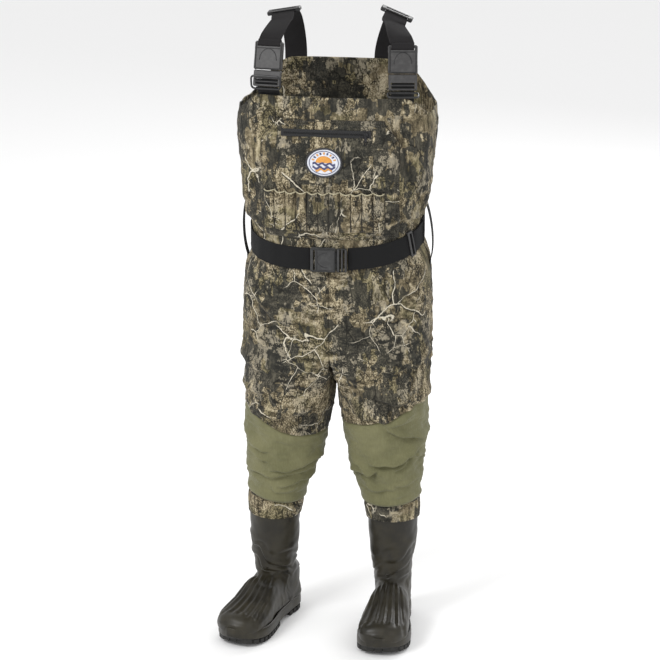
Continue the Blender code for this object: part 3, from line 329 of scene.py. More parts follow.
def cloth_point(u, side, z, lift=0.0):
    """A point of the finished cloth surface in the garment's own frame."""
    u, z = np.broadcast_arrays(np.asarray(u, float), np.asarray(z, float))
    points = base_point(u, side, z)
    normal = surface_normal(u, side, z)
    stand = fold_lift(points)
    belt = belt_height(np.minimum(u, 1.0), side)
    from_belt = z - belt
    pressed = smooth((np.abs(from_belt) - 0.027) / 0.030)
    calm = np.where(u > 1.0, smooth((CROTCH - z) / 0.06), 1.0)
    hem = smooth((z - CUFF_TOP) / 0.018)
    stand = stand * pressed * calm * hem
    gathers = np.sin(u * 96.0 + 2.2 * np.sin(u * 21.0 + side)) * bell(np.abs(from_belt) - 0.036, 0.016)
    stand = (stand + 0.0013 * gathers * np.where(np.abs(from_belt) > 0.027, 1.0, 0.0)
             * np.where(u <= 1.0, 1.0, 0.0))
    sag = np.zeros_like(points)
    sag[..., 2] = -0.55 * np.maximum(stand, 0.0)
    return points + normal * (stand + lift)[..., None] + sag


# ---------------------------------------------------------------- mesh helpers
def to_object(name, points, faces, material, uv=None):
    mesh = bpy.data.meshes.new(name)
    mesh.from_pydata((np.asarray(points, float).reshape(-1, 3) + np.array(SHIFT)).tolist(), [], faces)
    if uv is not None:
        layer = mesh.uv_layers.new(name="UVMap")
        loops = np.array([loop.vertex_index for loop in mesh.loops])
        layer.data.foreach_set("uv", np.asarray(uv, float)[loops].ravel())
    obj = bpy.data.objects.new(name, mesh)
    bpy.context.scene.collection.objects.link(obj)
    mesh.materials.append(material)
    mesh.shade_smooth()
    return obj


def grid_faces(rows, columns, closed=False, start=0):
    faces = []
    for row in range(rows - 1):
        for i in range(columns if closed else columns - 1):
            j = (i + 1) % columns
            faces.append((start + row * columns + i, start + row * columns + j,
                          start + (row + 1) * columns + j, start + (row + 1) * columns + i))
    return faces


def turn_out(obj, inside):
    """Faces of an open sheet point away from a point inside the garment."""
    shape = bmesh.new()
    shape.from_mesh(obj.data)
    bmesh.ops.recalc_face_normals(shape, faces=shape.faces)
    inside = Vector(inside) + SHIFT
    total = sum((face.calc_center_median() - inside).dot(face.normal) * face.calc_area()
                for face in shape.faces)
    if total < 0:
        bmesh.ops.reverse_faces(shape, faces=shape.faces)
    shape.to_mesh(obj.data)
    shape.free()


def face_outward(obj):
    shape = bmesh.new()
    shape.from_mesh(obj.data)
    bmesh.ops.recalc_face_normals(shape, faces=shape.faces)
    shape.to_mesh(obj.data)
    shape.free()


def thicken(obj, thickness, outward=False, rim=None):
    shell = obj.modifiers.new("wall", "SOLIDIFY")
    shell.thickness = thickness
    shell.offset = 1.0 if outward else -1.0
    if rim is not None:
        shell.use_rim = rim
    return shell


def metric_uv(grid):
    """UV in metres: across and along a grid of points."""
    across = np.concatenate([np.zeros((grid.shape[0], 1)),
                             np.cumsum(np.linalg.norm(np.diff(grid, axis=1), axis=-1), 1)], 1)
    along = np.concatenate([np.zeros((1, grid.shape[1])),
                            np.cumsum(np.linalg.norm(np.diff(grid, axis=0), axis=-1), 0)], 0)
    return np.stack([across, along], -1).reshape(-1, 2)


def sheet(name, grid, material, thickness, inside, closed=False, outward=False, uv=True):
    grid = np.asarray(grid, float)
    rows, columns = grid.shape[:2]
    obj = to_object(name, grid, grid_faces(rows, columns, closed), material,
                    uv=metric_uv(grid) if uv and not closed else None)
    turn_out(obj, inside)
    if thickness:
        thicken(obj, thickness, outward)
    return obj


def finish_piece(obj, node, body=BODY):
    if node:
        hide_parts(*([node] if isinstance(node, str) else node))
    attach(obj, body)
    return obj


def cut_sheet(obj, grid, held, *rests_on):
    """Reads a sheet's grid of points as an array; nothing more is done with the sheet."""
    grid = np.asarray(grid, float)


def edged(start, end, count):
    """Values from start to end that stand closer together near both ends."""
    near = np.array((0.0, 0.005, 0.011, 0.020))
    share = np.concatenate([near, np.linspace(0.032, 0.968, count), 1.0 - near[::-1]])
    return mix(start, end, share)


# ---------------------------------------------------------------- materials
def srgb(red, green, blue):
    """A colour given in 0 to 255 display values, as the shader's linear values."""
    values = [channel / 255 for channel in (red, green, blue)]
    return tuple(v / 12.92 if v <= 0.04045 else ((v + 0.055) / 1.055) ** 2.4 for v in values) + (1.0,)


class Look:
    """A material, with short names for the nodes that feed its Principled BSDF."""

    def __init__(self, name, roughness, metallic=0.0, sheen=0.0, coat=0.0, specular=0.5):
        self.material = bpy.data.materials.new(name)
        self.material.use_nodes = True
        self.tree = self.material.node_tree
        self.shader = self.tree.nodes["Principled BSDF"]
        settings = (("Roughness", roughness), ("Metallic", metallic), ("Sheen Weight", sheen),
                    ("Coat Weight", coat), ("Coat Roughness", 0.35), ("Specular IOR Level", specular))
        for socket, value in settings:
            self.shader.inputs[socket].default_value = value

    def put(self, socket, value):
        if isinstance(value, (int, float, tuple)):
            socket.default_value = value
        else:
            self.tree.links.new(value, socket)

    def node(self, kind, inputs=(), output=0, **settings):
        made = self.tree.nodes.new(kind)
        for key, value in settings.items():
            setattr(made, key, value)
        for socket, value in inputs:
            self.put(made.inputs[socket], value)
        return made.outputs[output]

    def coordinates(self, scale=(1.0, 1.0, 1.0), turn=(0.0, 0.0, 0.0), move=(0.0, 0.0, 0.0), kind="Object"):
        source = self.tree.nodes.new("ShaderNodeTexCoord").outputs[kind]
        radians = tuple(math.radians(angle) for angle in turn)
        return self.node("ShaderNodeMapping",
                         (("Vector", source), ("Location", move), ("Rotation", radians),
                                               ("Scale", scale)))

    def noise(self, place, scale, detail=3.0, rough=0.55, distortion=0.0, output=0):
        return self.node("ShaderNodeTexNoise", (("Vector", place), ("Scale", scale), ("Detail", detail),
                                                ("Roughness", rough), ("Distortion", distortion)), output)

    def cells(self, place, scale, metric="CHEBYCHEV", output="Color", randomness=1.0):
        made = self.tree.nodes.new("ShaderNodeTexVoronoi")
        made.distance = metric
        self.put(made.inputs["Vector"], place)
        made.inputs["Scale"].default_value = scale
        made.inputs["Randomness"].default_value = randomness
        return made.outputs[output]

    def edges(self, place, scale, width):
        """1 along the straight, branching borders between scattered cells, else 0."""
        made = self.tree.nodes.new("ShaderNodeTexVoronoi")
        made.feature = "DISTANCE_TO_EDGE"
        self.put(made.inputs["Vector"], place)
        made.inputs["Scale"].default_value = scale
        return self.step(made.outputs["Distance"], width, width * 0.45)

    def blocks(self, place, scale):
        """A value for each of many square patches, whose outlines are stepped by smaller squares."""
        small = self.cells(place, scale * 4.5)
        centred = self.node("ShaderNodeVectorMath", ((0, small), (1, (0.5, 0.5, 0.5))),
                            operation="SUBTRACT")
        shift = self.node("ShaderNodeVectorMath", ((0, centred), ("Scale", 0.55 / scale)),
                          operation="SCALE")
        stepped = self.node("ShaderNodeVectorMath", ((0, place), (1, shift)), operation="ADD")
        return self.node("ShaderNodeSeparateColor", (("Color", self.cells(stepped, scale)),))

    def math(self, operation, a, b=0.0, clamp=False):
        return self.node("ShaderNodeMath", ((0, a), (1, b)), operation=operation, use_clamp=clamp)

    def step(self, value, low, high):
        """Rises smoothly from 0 at low to 1 at high; it falls where high is below low."""
        if high >= low:
            return self.node("ShaderNodeMapRange", ((0, value), (1, low), (2, high), (3, 0.0), (4, 1.0)),
                             interpolation_type="SMOOTHSTEP")
        return self.node("ShaderNodeMapRange", ((0, value), (1, high), (2, low), (3, 1.0), (4, 0.0)),
                         interpolation_type="SMOOTHSTEP")

    def mix(self, factor, a, b, blend="MIX"):
        return self.node("ShaderNodeMix", ((0, factor), (6, a), (7, b)), 2, data_type="RGBA",
                         blend_type=blend)

    def ramp(self, value, *stops):
        made = self.tree.nodes.new("ShaderNodeValToRGB")
        self.put(made.inputs[0], value)
        elements = made.color_ramp.elements
        while len(elements) < len(stops):
            elements.new(0.5)
        for element, (position, colour) in zip(elements, stops):
            element.position = position
            element.color = colour
        return made.outputs[0]

    def warp(self, place, scale, amount):
        """The place moved about by a noise."""
        drift = self.noise(place, scale, 2.0, output=1)
        centred = self.node("ShaderNodeVectorMath", ((0, drift), (1, (0.5, 0.5, 0.5))),
                            operation="SUBTRACT")
        scaled = self.node("ShaderNodeVectorMath", ((0, centred), ("Scale", amount)), operation="SCALE")
        return self.node("ShaderNodeVectorMath", ((0, place), (1, scaled)), operation="ADD")

    def bump(self, height, distance, strength=1.0, under=None):
        inputs = [("Height", height), ("Distance", distance), ("Strength", strength)]
        if under is not None:
            inputs.append(("Normal", under))
        return self.node("ShaderNodeBump", inputs)

    def finish(self, colour=None, roughness=None, normal=None):
        for socket, value in (("Base Color", colour), ("Roughness", roughness), ("Normal", normal)):
            if value is not None:
                self.put(self.shader.inputs[socket], value)
        return self.material


def weave_height(look, pitch, kind="UV"):
    """Plain weave: threads across and along, in metres of the piece's UV map."""
    place = look.coordinates(kind=kind)
    parts = look.node("ShaderNodeSeparateXYZ", (("Vector", place),))
    split = parts.node
    across = look.math("SINE", look.math("MULTIPLY", split.outputs[0], math.tau / pitch))
    along = look.math("SINE", look.math("MULTIPLY", split.outputs[1], math.tau / pitch))
    return look.math("MULTIPLY", across, along)


def camo_cloth(name, move=(0.0, 0.0, 0.0)):
    """Printed bark, dark blocks and twigs on a brushed woven shell cloth."""
    look = Look(name, roughness=0.88, sheen=0.03, specular=0.20)
    place = look.coordinates(move=move)
    drift = look.warp(place, 30.0, 0.014)
    upright = look.coordinates(scale=(1.0, 1.0, 0.28), move=move, turn=(0.0, 5.0, 0.0))
    slanted = look.coordinates(scale=(0.35, 1.0, 1.0), move=(3.0, 1.0, 2.0), turn=(0.0, 48.0, 0.0))
    streak = look.noise(look.warp(upright, 60.0, 0.006), 70.0, 5.0, 0.66)
    slant = look.noise(look.warp(slanted, 60.0, 0.006), 80.0, 4.0, 0.68)
    speck = look.noise(look.coordinates(scale=(1.0, 1.0, 0.75), move=move), 340.0, 3.0, 0.8)
    way = look.step(look.noise(drift, 8.0, 1.0), 0.46, 0.54)
    bark = look.math("ADD", look.math("MULTIPLY", streak, look.math("SUBTRACT", 1.0, way)),
                     look.math("MULTIPLY", slant, way))
    lively = look.step(look.noise(drift, 11.0, 2.0), 0.42, 0.54)
    spread = look.math("MULTIPLY", look.math("SUBTRACT", speck, 0.5), look.math("ADD", 0.35, lively))
    grain = look.math("ADD", bark, spread)
    warm = look.ramp(grain, (0.32, srgb(40, 36, 27)), (0.41, srgb(72, 65, 50)), (0.50, srgb(104, 94, 73)),
                     (0.58, srgb(132, 121, 97)), (0.69, srgb(188, 176, 148)))
    mossy = look.ramp(grain, (0.32, srgb(36, 34, 25)), (0.43, srgb(66, 61, 44)), (0.53, srgb(98, 91, 68)),
                      (0.66, srgb(146, 136, 106)))
    colour = look.mix(look.step(look.noise(drift, 14.0, 2.0), 0.48, 0.60), warm, mossy)
    slate = look.ramp(grain, (0.38, srgb(34, 34, 31)), (0.52, srgb(50, 49, 44)), (0.74, srgb(82, 79, 69)))
    for scale, flat, low, high, share in ((13.0, 0.7, 0.735, 0.745, 0.93), (27.0, 0.55, 0.765, 0.78, 0.90)):
        blocks = look.blocks(look.coordinates(scale=(1.0, 1.0, flat), move=move), scale)
        colour = look.mix(look.math("MULTIPLY", look.step(blocks, low, high), share), colour, slate)
    pale = look.blocks(look.coordinates(scale=(1.0, 1.0, 0.6), move=(5.0, 2.0, 1.0)), 38.0)
    pale = look.math("MULTIPLY", look.step(pale, 0.80, 0.83), look.step(grain, 0.40, 0.56))
    colour = look.mix(look.math("MULTIPLY", pale, 0.50), colour, srgb(176, 166, 144))
    cracks = look.edges(look.warp(look.coordinates(scale=(1.0, 1.0, 0.38), move=move), 60.0, 0.016),
                        42.0, 0.045)
    cracks = look.math("MULTIPLY", cracks, look.step(look.noise(drift, 16.0, 1.0), 0.50, 0.56))
    colour = look.mix(look.math("MULTIPLY", cracks, 0.85), colour, srgb(26, 25, 21))
    bends = look.warp(look.warp(place, 16.0, 0.030), 90.0, 0.0045)
    beside = look.node("ShaderNodeVectorMath", ((0, bends), (1, (0.0016, 0.0, 0.0013))), operation="ADD")
    for scale, width, slow, low in ((6.5, 0.0085, 7.0, 0.555), (15.0, 0.0130, 8.0, 0.58)):
        where = look.step(look.noise(place, slow, 1.5), low, low + 0.03)
        shade = look.math("MULTIPLY", look.edges(beside, scale, width * 1.5), where)
        colour = look.mix(look.math("MULTIPLY", shade, 0.80), colour, srgb(26, 25, 21))
        worn = look.math("MULTIPLY", where, look.step(speck, 0.34, 0.46))
        twig = look.math("MULTIPLY", look.edges(bends, scale, width), worn)
        colour = look.mix(look.math("MULTIPLY", twig, 0.92), colour, srgb(206, 198, 178))
    weave = look.bump(weave_height(look, 0.0011), 0.00008, 0.6)
    nap = look.bump(look.noise(look.coordinates(), 700.0, 2.0), 0.0002, 0.5, weave)
    crumple = look.bump(look.noise(look.coordinates(), 95.0, 3.0, 0.6), 0.0013, 0.8, nap)
    return look.finish(colour, look.node("ShaderNodeMapRange", ((0, speck), (3, 0.80), (4, 0.94))), crumple)


def olive_cloth(name):
    look = Look(name, roughness=0.74, sheen=0.10, specular=0.35)
    place = look.coordinates()
    tone = look.noise(place, 12.0, 3.0, 0.6)
    slub = look.noise(look.coordinates(scale=(1.0, 1.0, 0.15)), 420.0, 3.0, 0.7)
    base = look.ramp(tone, (0.35, srgb(92, 91, 60)), (0.65, srgb(108, 106, 74)))
    colour = look.mix(look.math("MULTIPLY", look.step(slub, 0.42, 0.66), 0.28), base, srgb(126, 124, 92))
    wear = look.step(look.noise(place, 60.0, 5.0, 0.7), 0.58, 0.74)
    colour = look.mix(look.math("MULTIPLY", wear, 0.22), colour, srgb(140, 136, 104))
    weave = look.bump(weave_height(look, 0.0012), 0.00012, 0.8)
    crumple = look.bump(look.noise(place, 110.0, 3.0, 0.6), 0.0009, 0.6, weave)
    return look.finish(colour, look.node("ShaderNodeMapRange", ((0, slub), (3, 0.66), (4, 0.84))), crumple)


def boot_rubber(name, dark=srgb(27, 24, 16), light=srgb(43, 39, 27)):
    look = Look(name, roughness=0.38, specular=0.34, coat=0.03)
    place = look.coordinates()
    tone = look.noise(place, 18.0, 4.0, 0.6)
    colour = look.mix(look.step(tone, 0.35, 0.68), dark, light)
    scuff = look.step(look.noise(look.coordinates(scale=(1.0, 1.0, 0.4)), 160.0, 4.0, 0.75), 0.60, 0.76)
    low = look.node("ShaderNodeSeparateXYZ", (("Vector", place),), 2)
    dusty = look.math("MULTIPLY", look.step(low, 0.10, 0.0),
                      look.step(look.noise(place, 40.0, 4.0), 0.42, 0.7))
    colour = look.mix(look.math("MULTIPLY", scuff, 0.16), colour, srgb(82, 76, 60))
    colour = look.mix(look.math("MULTIPLY", dusty, 0.16), colour, srgb(88, 81, 64))
    rough = look.node("ShaderNodeMapRange", ((0, tone), (1, 0.3), (2, 0.7), (3, 0.34), (4, 0.50)))
    pebble = look.bump(look.noise(place, 900.0, 2.0), 0.00012, 0.6)
    swell = look.bump(look.noise(place, 70.0, 3.0), 0.0006, 0.5, pebble)
    return look.finish(colour, rough, swell)


def ribbed_webbing(name, colour_dark, colour_light, pitch_across, pitch_along, depth):
    """Woven tape: ribs across and along its length, in metres of the UV map."""
    look = Look(name, roughness=0.80, sheen=0.02, specular=0.22)
    place = look.coordinates(kind="UV")
    split = look.node("ShaderNodeSeparateXYZ", (("Vector", place),)).node
    across = look.math("SINE", look.math("MULTIPLY", split.outputs[0], math.tau / pitch_across))
    along = look.math("SINE", look.math("MULTIPLY", split.outputs[1], math.tau / pitch_along))
    height = look.math("ADD", across, look.math("MULTIPLY", along, 0.6))
    fuzz = look.noise(look.coordinates(), 600.0, 3.0)
    shade = look.step(look.math("ADD", height, look.math("MULTIPLY", fuzz, 1.2)), -1.2, 2.2)
    colour = look.mix(shade, colour_dark, colour_light)
    return look.finish(colour, None, look.bump(height, depth, 0.8))


def moulded_plastic(name, colour, edge, roughness=0.42):
    look = Look(name, roughness=roughness, specular=0.5)
    place = look.coordinates()
    mottle = look.noise(place, 120.0, 3.0)
    face = look.mix(look.math("MULTIPLY", look.step(mottle, 0.4, 0.7), 0.35), colour, edge)
    scratch = look.step(look.noise(look.coordinates(scale=(0.2, 1.0, 1.0)), 520.0, 3.0, 0.8), 0.62, 0.75)
    face = look.mix(look.math("MULTIPLY", scratch, 0.3), face, edge)
    rough = look.node("ShaderNodeMapRange", ((0, mottle), (3, roughness - 0.06), (4, roughness + 0.12)))
    return look.finish(face, rough, look.bump(look.noise(place, 1500.0, 2.0), 0.00006, 0.7))


def plain_grain(name, dark, light, roughness, scale, depth, metallic=0.0):
    look = Look(name, roughness=roughness, metallic=metallic)
    field = look.noise(look.coordinates(), scale, 4.0, 0.6)
    colour = look.mix(look.step(field, 0.35, 0.7), dark, light)
    rough = look.node("ShaderNodeMapRange", ((0, field), (3, roughness - 0.05), (4, roughness + 0.08)))
    return look.finish(colour, rough, look.bump(field, depth, 0.8))


def embroidery(name, colour, light, turn):
    """Satin stitch: fine parallel threads with a soft shine."""
    look = Look(name, roughness=0.5, sheen=0.2)
    place = look.coordinates(turn=(0.0, turn, 0.0))
    split = look.node("ShaderNodeSeparateXYZ", (("Vector", place),)).node
    thread = look.math("SINE", look.math("MULTIPLY", split.outputs[0], math.tau / 0.0009))
    uneven = look.noise(place, 900.0, 2.0)
    shade = look.step(look.math("ADD", thread, uneven), -0.6, 1.6)
    return look.finish(look.mix(shade, colour, light), None, look.bump(thread, 0.00015, 0.8))


def make_looks():
    return {
        "camo": camo_cloth("camo_cloth"),
        "camo_pocket": camo_cloth("camo_pocket_cloth", (0.37, 0.21, 0.143)),
        "camo_back": camo_cloth("camo_back_cloth", (0.71, -0.32, 0.29)),
        "olive": olive_cloth("olive_cloth"),
        "rubber": boot_rubber("boot_rubber"),
        "outsole": plain_grain("outsole_rubber", srgb(16, 15, 13), srgb(30, 29, 25), 0.62, 140.0, 0.0006),
        "webbing": ribbed_webbing("belt_webbing", srgb(7, 7, 8), srgb(23, 23, 24), 0.0021, 0.0014, 0.00022),
        "elastic": ribbed_webbing("strap_elastic", srgb(15, 14, 15), srgb(38, 36, 37), 0.0016, 0.0026,
                                  0.00028),
        "moulded": moulded_plastic("moulded_plastic", srgb(38, 38, 38), srgb(70, 70, 70)),
        "moulded_grey": moulded_plastic("moulded_grey_plastic", srgb(50, 49, 49), srgb(80, 79, 78)),
        "moulded_dark": moulded_plastic("moulded_dark_plastic", srgb(16, 16, 17), srgb(42, 42, 42)),
        "zip": plain_grain("zip_tape_black", srgb(8, 8, 9), srgb(24, 24, 25), 0.7, 900.0, 0.0001),
        "zip_metal": plain_grain("zip_metal_black", srgb(22, 22, 23), srgb(60, 60, 61), 0.38, 300.0,
                                 0.00005, 0.6),
        "white_thread": embroidery("badge_white_thread", srgb(196, 200, 212), srgb(236, 238, 244), 0.0),
        "orange_thread": embroidery("badge_orange_thread", srgb(196, 124, 40), srgb(232, 168, 74), 35.0),
        "blue_thread": embroidery("badge_blue_thread", srgb(40, 44, 84), srgb(70, 74, 118), 90.0),
        "black_thread": embroidery("black_thread", srgb(10, 10, 13), srgb(34, 34, 40), 90.0),
        "seam_thread": embroidery("seam_thread", srgb(52, 48, 38), srgb(84, 78, 62), 0.0),
        "binding": plain_grain("sleeve_binding", srgb(150, 142, 116), srgb(190, 182, 156), 0.8, 500.0,
                               0.0003),
        # Dark cords that are painted shadow, laid in the pocket's openings and along the shell sleeves'
        # seams.
        "painted_seam_shadow": plain_grain("seam_shadow_tape", srgb(24, 22, 18), srgb(44, 40, 32), 0.9, 500.0,
                                    0.0003),
        "foam": plain_grain("insole_foam", srgb(52, 52, 50), srgb(84, 84, 80), 0.95, 500.0, 0.0004),
        "lining": plain_grain("boot_lining", srgb(76, 76, 70), srgb(104, 103, 94), 0.95, 700.0, 0.0003),
        "steel": plain_grain("steel", srgb(150, 150, 152), srgb(190, 190, 192), 0.35, 200.0, 0.00002, 1.0),
    }


# ---------------------------------------------------------------- pieces of thread and tape
def smooth_path(points, spacing):
    """Points about a spacing apart on a smooth curve through the given ones."""
    points = np.asarray(points, float)
    full = np.concatenate([points[:1] * 2 - points[1:2], points, points[-1:] * 2 - points[-2:-1]])
    out = []
    for k in range(1, len(full) - 2):
        a, b, c, d = full[k - 1:k + 3]
        steps = max(1, round(float(np.linalg.norm(c - b)) / spacing))
        for i in range(steps):
            t = i / steps
            out.append(0.5 * (2 * b + (c - a) * t + (2 * a - 5 * b + 4 * c - d) * t * t
                              + (3 * b - a - 3 * c + d) * t ** 3))
    out.append(points[-1])
    return np.array(out)


def resample(path, extra, spacing):
    """Points of a dense path at even spacing, and the extra rows of vectors read at the same places."""
    lengths = np.concatenate([[0.0], np.cumsum(np.linalg.norm(np.diff(path, axis=0), axis=1))])
    places = np.linspace(0.0, lengths[-1], max(2, int(round(lengths[-1] / spacing)) + 1))
    pick = [np.stack([np.interp(places, lengths, rows[:, i]) for i in range(3)], -1)
            for rows in (path, extra)]
    return pick


def stitch_rows(name, lines, material, pitch=0.0042, radius=0.00042, body=BODY):
    """Seam thread: short rounded stitches along paths; a line is (points, normals)."""
    ring, verts, faces = 6, [], []
    for path, normals in lines:
        places, out = resample(np.asarray(path, float), np.asarray(normals, float), pitch)
        for k in range(len(places) - 1):
            start = places[k] * 0.90 + places[k + 1] * 0.10
            end = places[k] * 0.22 + places[k + 1] * 0.78
            way = end - start
            up = out[k] / max(np.linalg.norm(out[k]), 1e-9)
            across = np.cross(way, up)
            across /= max(np.linalg.norm(across), 1e-9)
            base = len(verts)
            for share, size, rise in ((0.0, 0.35, -0.3), (0.2, 1.0, 0.5), (0.8, 1.0, 0.5),
                                      (1.0, 0.35, -0.3)):
                middle = start + way * share + up * radius * rise
                for i in range(ring):
                    turn = math.tau * i / ring
                    verts.append(middle + (across * math.cos(turn) + up * math.sin(turn)) * radius * size)
            faces += [tuple(base + row * ring + (i + side) % ring for row, side in corners)
                      for i in range(ring)
                      for corners in [[(r, 0), (r, 1), (r + 1, 1), (r + 1, 0)] for r in range(3)]]
            faces.append(tuple(base + i for i in range(ring))[::-1])
            faces.append(tuple(base + 3 * ring + i for i in range(ring)))
    obj = to_object(name, verts, faces, material)
    face_outward(obj)
    return finish_piece(obj, None, body)


def tape(name, middle, across, width, material, columns, rim=0.0005):
    """Webbing along its middle points, wide along the given directions, on their outer side."""
    middle, across = np.asarray(middle, float), np.asarray(across, float)
    across = across / np.linalg.norm(across, axis=1, keepdims=True)
    way = np.gradient(middle, axis=0)
    out = np.cross(way, across)
    out /= np.linalg.norm(out, axis=1, keepdims=True)
    shares = np.concatenate([[-1.0, -0.97, -0.90], np.linspace(-0.8, 0.8, columns - 6), [0.90, 0.97, 1.0]])
    crown = np.where(np.abs(shares) > 0.93, rim, 0.0)
    grid = (middle[:, None] + across[:, None] * (shares * width / 2)[None, :, None]
            + out[:, None] * crown[None, :, None] * 0.5)
    return to_object(name, grid, grid_faces(*grid.shape[:2]), material, uv=metric_uv(grid))


def soft_edges(obj, width=0.0004, segments=2):
    rounding = obj.modifiers.new("edges", "BEVEL")
    rounding.width = width
    rounding.segments = segments
    rounding.limit_method = "ANGLE"
    return rounding


# ---------------------------------------------------------------- cloth panels
CLOTH = 0.0032              # wall of the visual cloth shell
# room left between sewn panels: side seam, inner leg seam, middle of front and back
SEAM_U, INSEAM_U, MIDDLE_U = 0.0000001, 0.006, 0.00012
SEAM_DIP = 0.0016           # cloth sinks this much towards its seams
SEAM_ROLL = 0.0006          # and rises this much beside them


def top_edge(u):
    front = mix(BIB_FRONT, BIB_SIDE, smooth((u - 0.20) / 0.22))
    back = mix(BIB_SIDE, BIB_BACK, smooth((u - 0.60) / 0.27))
    return np.where(u < 0.5, front, back)


def olive_edge(side_name, u):
    outward = (1 + np.sin(leg_turn(u))) / 2
    return OLIVE_TOP[side_name] + OLIVE_RISE[side_name] * outward * outward


def sink_edges(shape, spacing_rows, spacing_columns, rows=(True, True), columns=(True, True), width=0.006):
    """Lift of a panel's grid: down along the sewn edges, with a slight roll beside them."""
    lift = np.zeros(shape)
    for axis, spacing, ends in ((0, spacing_rows, rows), (1, spacing_columns, columns)):
        count = shape[axis]
        for end, sewn in enumerate(ends):
            if not sewn:
                continue
            steps = np.arange(count) if end == 0 else np.arange(count)[::-1]
            d = steps * spacing
            drop = (-SEAM_DIP * np.exp(-(d / (width * 0.45)) ** 2)
                    + SEAM_ROLL * np.exp(-((d - width) / width) ** 2))
            lift += drop[:, None] if axis == 0 else drop[None, :]
    return lift


def torso_grid(u_path, side_path, low, high, rows):
    """Points from the belt's height (plus low) to the upper edge."""
    u, side = np.meshgrid(u_path, np.arange(rows), indexing="xy")[0], np.tile(side_path, (rows, 1))
    share = np.linspace(0.0, 1.0, rows)[:, None]
    z = mix(belt_height(u, side) + low, top_edge(u) + high, share)
    return u, side, z


def upper_panel(name, u_from, u_to, look, node, inside=(0, 0, 1.05)):
    columns, rows = 190, 84
    if u_from < 0.25:
        signed = np.linspace(-u_to, u_to, columns)
        u, side = np.abs(signed), np.where(signed < 0, -1.0, 1.0)
    else:
        signed = np.linspace(-(1.0 - u_from), 1.0 - u_from, columns)
        u, side = 1.0 - np.abs(signed), np.where(signed < 0, 1.0, -1.0)
    u, side, z = torso_grid(u, side, 0.0004, 0.0, rows)
    lift = sink_edges(u.shape, 0.004, 0.004, rows=(False, False))
    points = cloth_point(u, side, z, lift)
    obj = sheet(name, points, look, CLOTH, inside)
    finish_piece(obj, node)
    cut_sheet(obj, points, "hung", "strap_back_left", "strap_back_right")


def trouser_panel(name, side_name, outer, inner, look, node):
    """Front or back trouser panel: waist seam to olive seam, over the fork."""
    side = SIDES[side_name]
    upper, lower = 52, 46
    columns = np.concatenate([outer, inner])
    split = len(outer)
    u_grid = np.tile(columns, (upper + lower, 1))
    belt = belt_height(np.minimum(columns, 1.0), side) - 0.0004
    high = mix(belt, CROTCH, np.linspace(0.0, 1.0, upper)[:, None])
    low = mix(CROTCH, olive_edge(side_name, columns) + 0.0003, np.linspace(0.0, 1.0, lower + 1)[1:, None])
    z = np.concatenate([high, low])
    lift = sink_edges(u_grid.shape, 0.0045, 0.0045, rows=(False, False))
    hem = np.arange(upper + lower)[::-1] * 0.004
    lift = lift + (0.0016 * np.exp(-(hem / 0.008) ** 2))[:, None]
    points = cloth_point(u_grid, side, z, lift)
    faces = [face for k, face in enumerate(grid_faces(upper + lower, len(columns)))
             if not (k // (len(columns) - 1) < upper - 1 and k % (len(columns) - 1) >= split - 1)]
    obj = to_object(name, points, faces, look, uv=metric_uv(points))
    shape = bmesh.new()
    shape.from_mesh(obj.data)
    bmesh.ops.delete(shape, geom=[v for v in shape.verts if not v.link_faces], context="VERTS")
    shape.to_mesh(obj.data)
    shape.free()
    turn_out(obj, (side * 0.1, 0, 0.65))
    thicken(obj, CLOTH)
    finish_piece(obj, node)
    cut_sheet(obj, points, "hung", "front_bib" if "front" in name else "back_panel")


def olive_hem(side_name, u):
    """Height of the olive cloth's lower edge over the cuff; the right one hangs lower inside."""
    turn = leg_turn(u)
    if side_name == "right":
        return CUFF_TOP - 0.010 + 0.012 * np.sin(turn) - 0.004 * np.cos(turn)
    return CUFF_TOP - 0.009 + 0.005 * np.sin(turn) - 0.004 * np.cos(turn)


TUCK = 0.012                # olive cloth and cuff run this far up under the cloth above


def lower_panel(name, side_name, columns, look, node):
    """Olive panel: its top is tucked under the camouflage hem, its bottom blouses over the cuff."""
    side = SIDES[side_name]
    rows = 104
    u = np.tile(columns, (rows, 1))
    upper, lower = olive_edge(side_name, u), olive_hem(side_name, u)
    z = mix(upper + TUCK, lower, np.linspace(0.0, 1.0, rows)[:, None])
    tucked = -0.0046 * smooth((z - upper + 0.006) / 0.008)
    above = z - lower
    blouse = 0.0040 * bell(above - 0.010, 0.011) - 0.0050 * np.exp(-(above / 0.0035) ** 2)
    lift = sink_edges(u.shape, 0.003, 0.004, rows=(False, False)) + tucked + blouse
    points = cloth_point(u, side, z, lift)
    obj = sheet(name, points, look, 0.0026, (side * 0.12, 0, 0.42))
    finish_piece(obj, node)
    cut_sheet(obj, points, "hung", f"front_trouser_{side_name}", f"boot_upper_{side_name}")


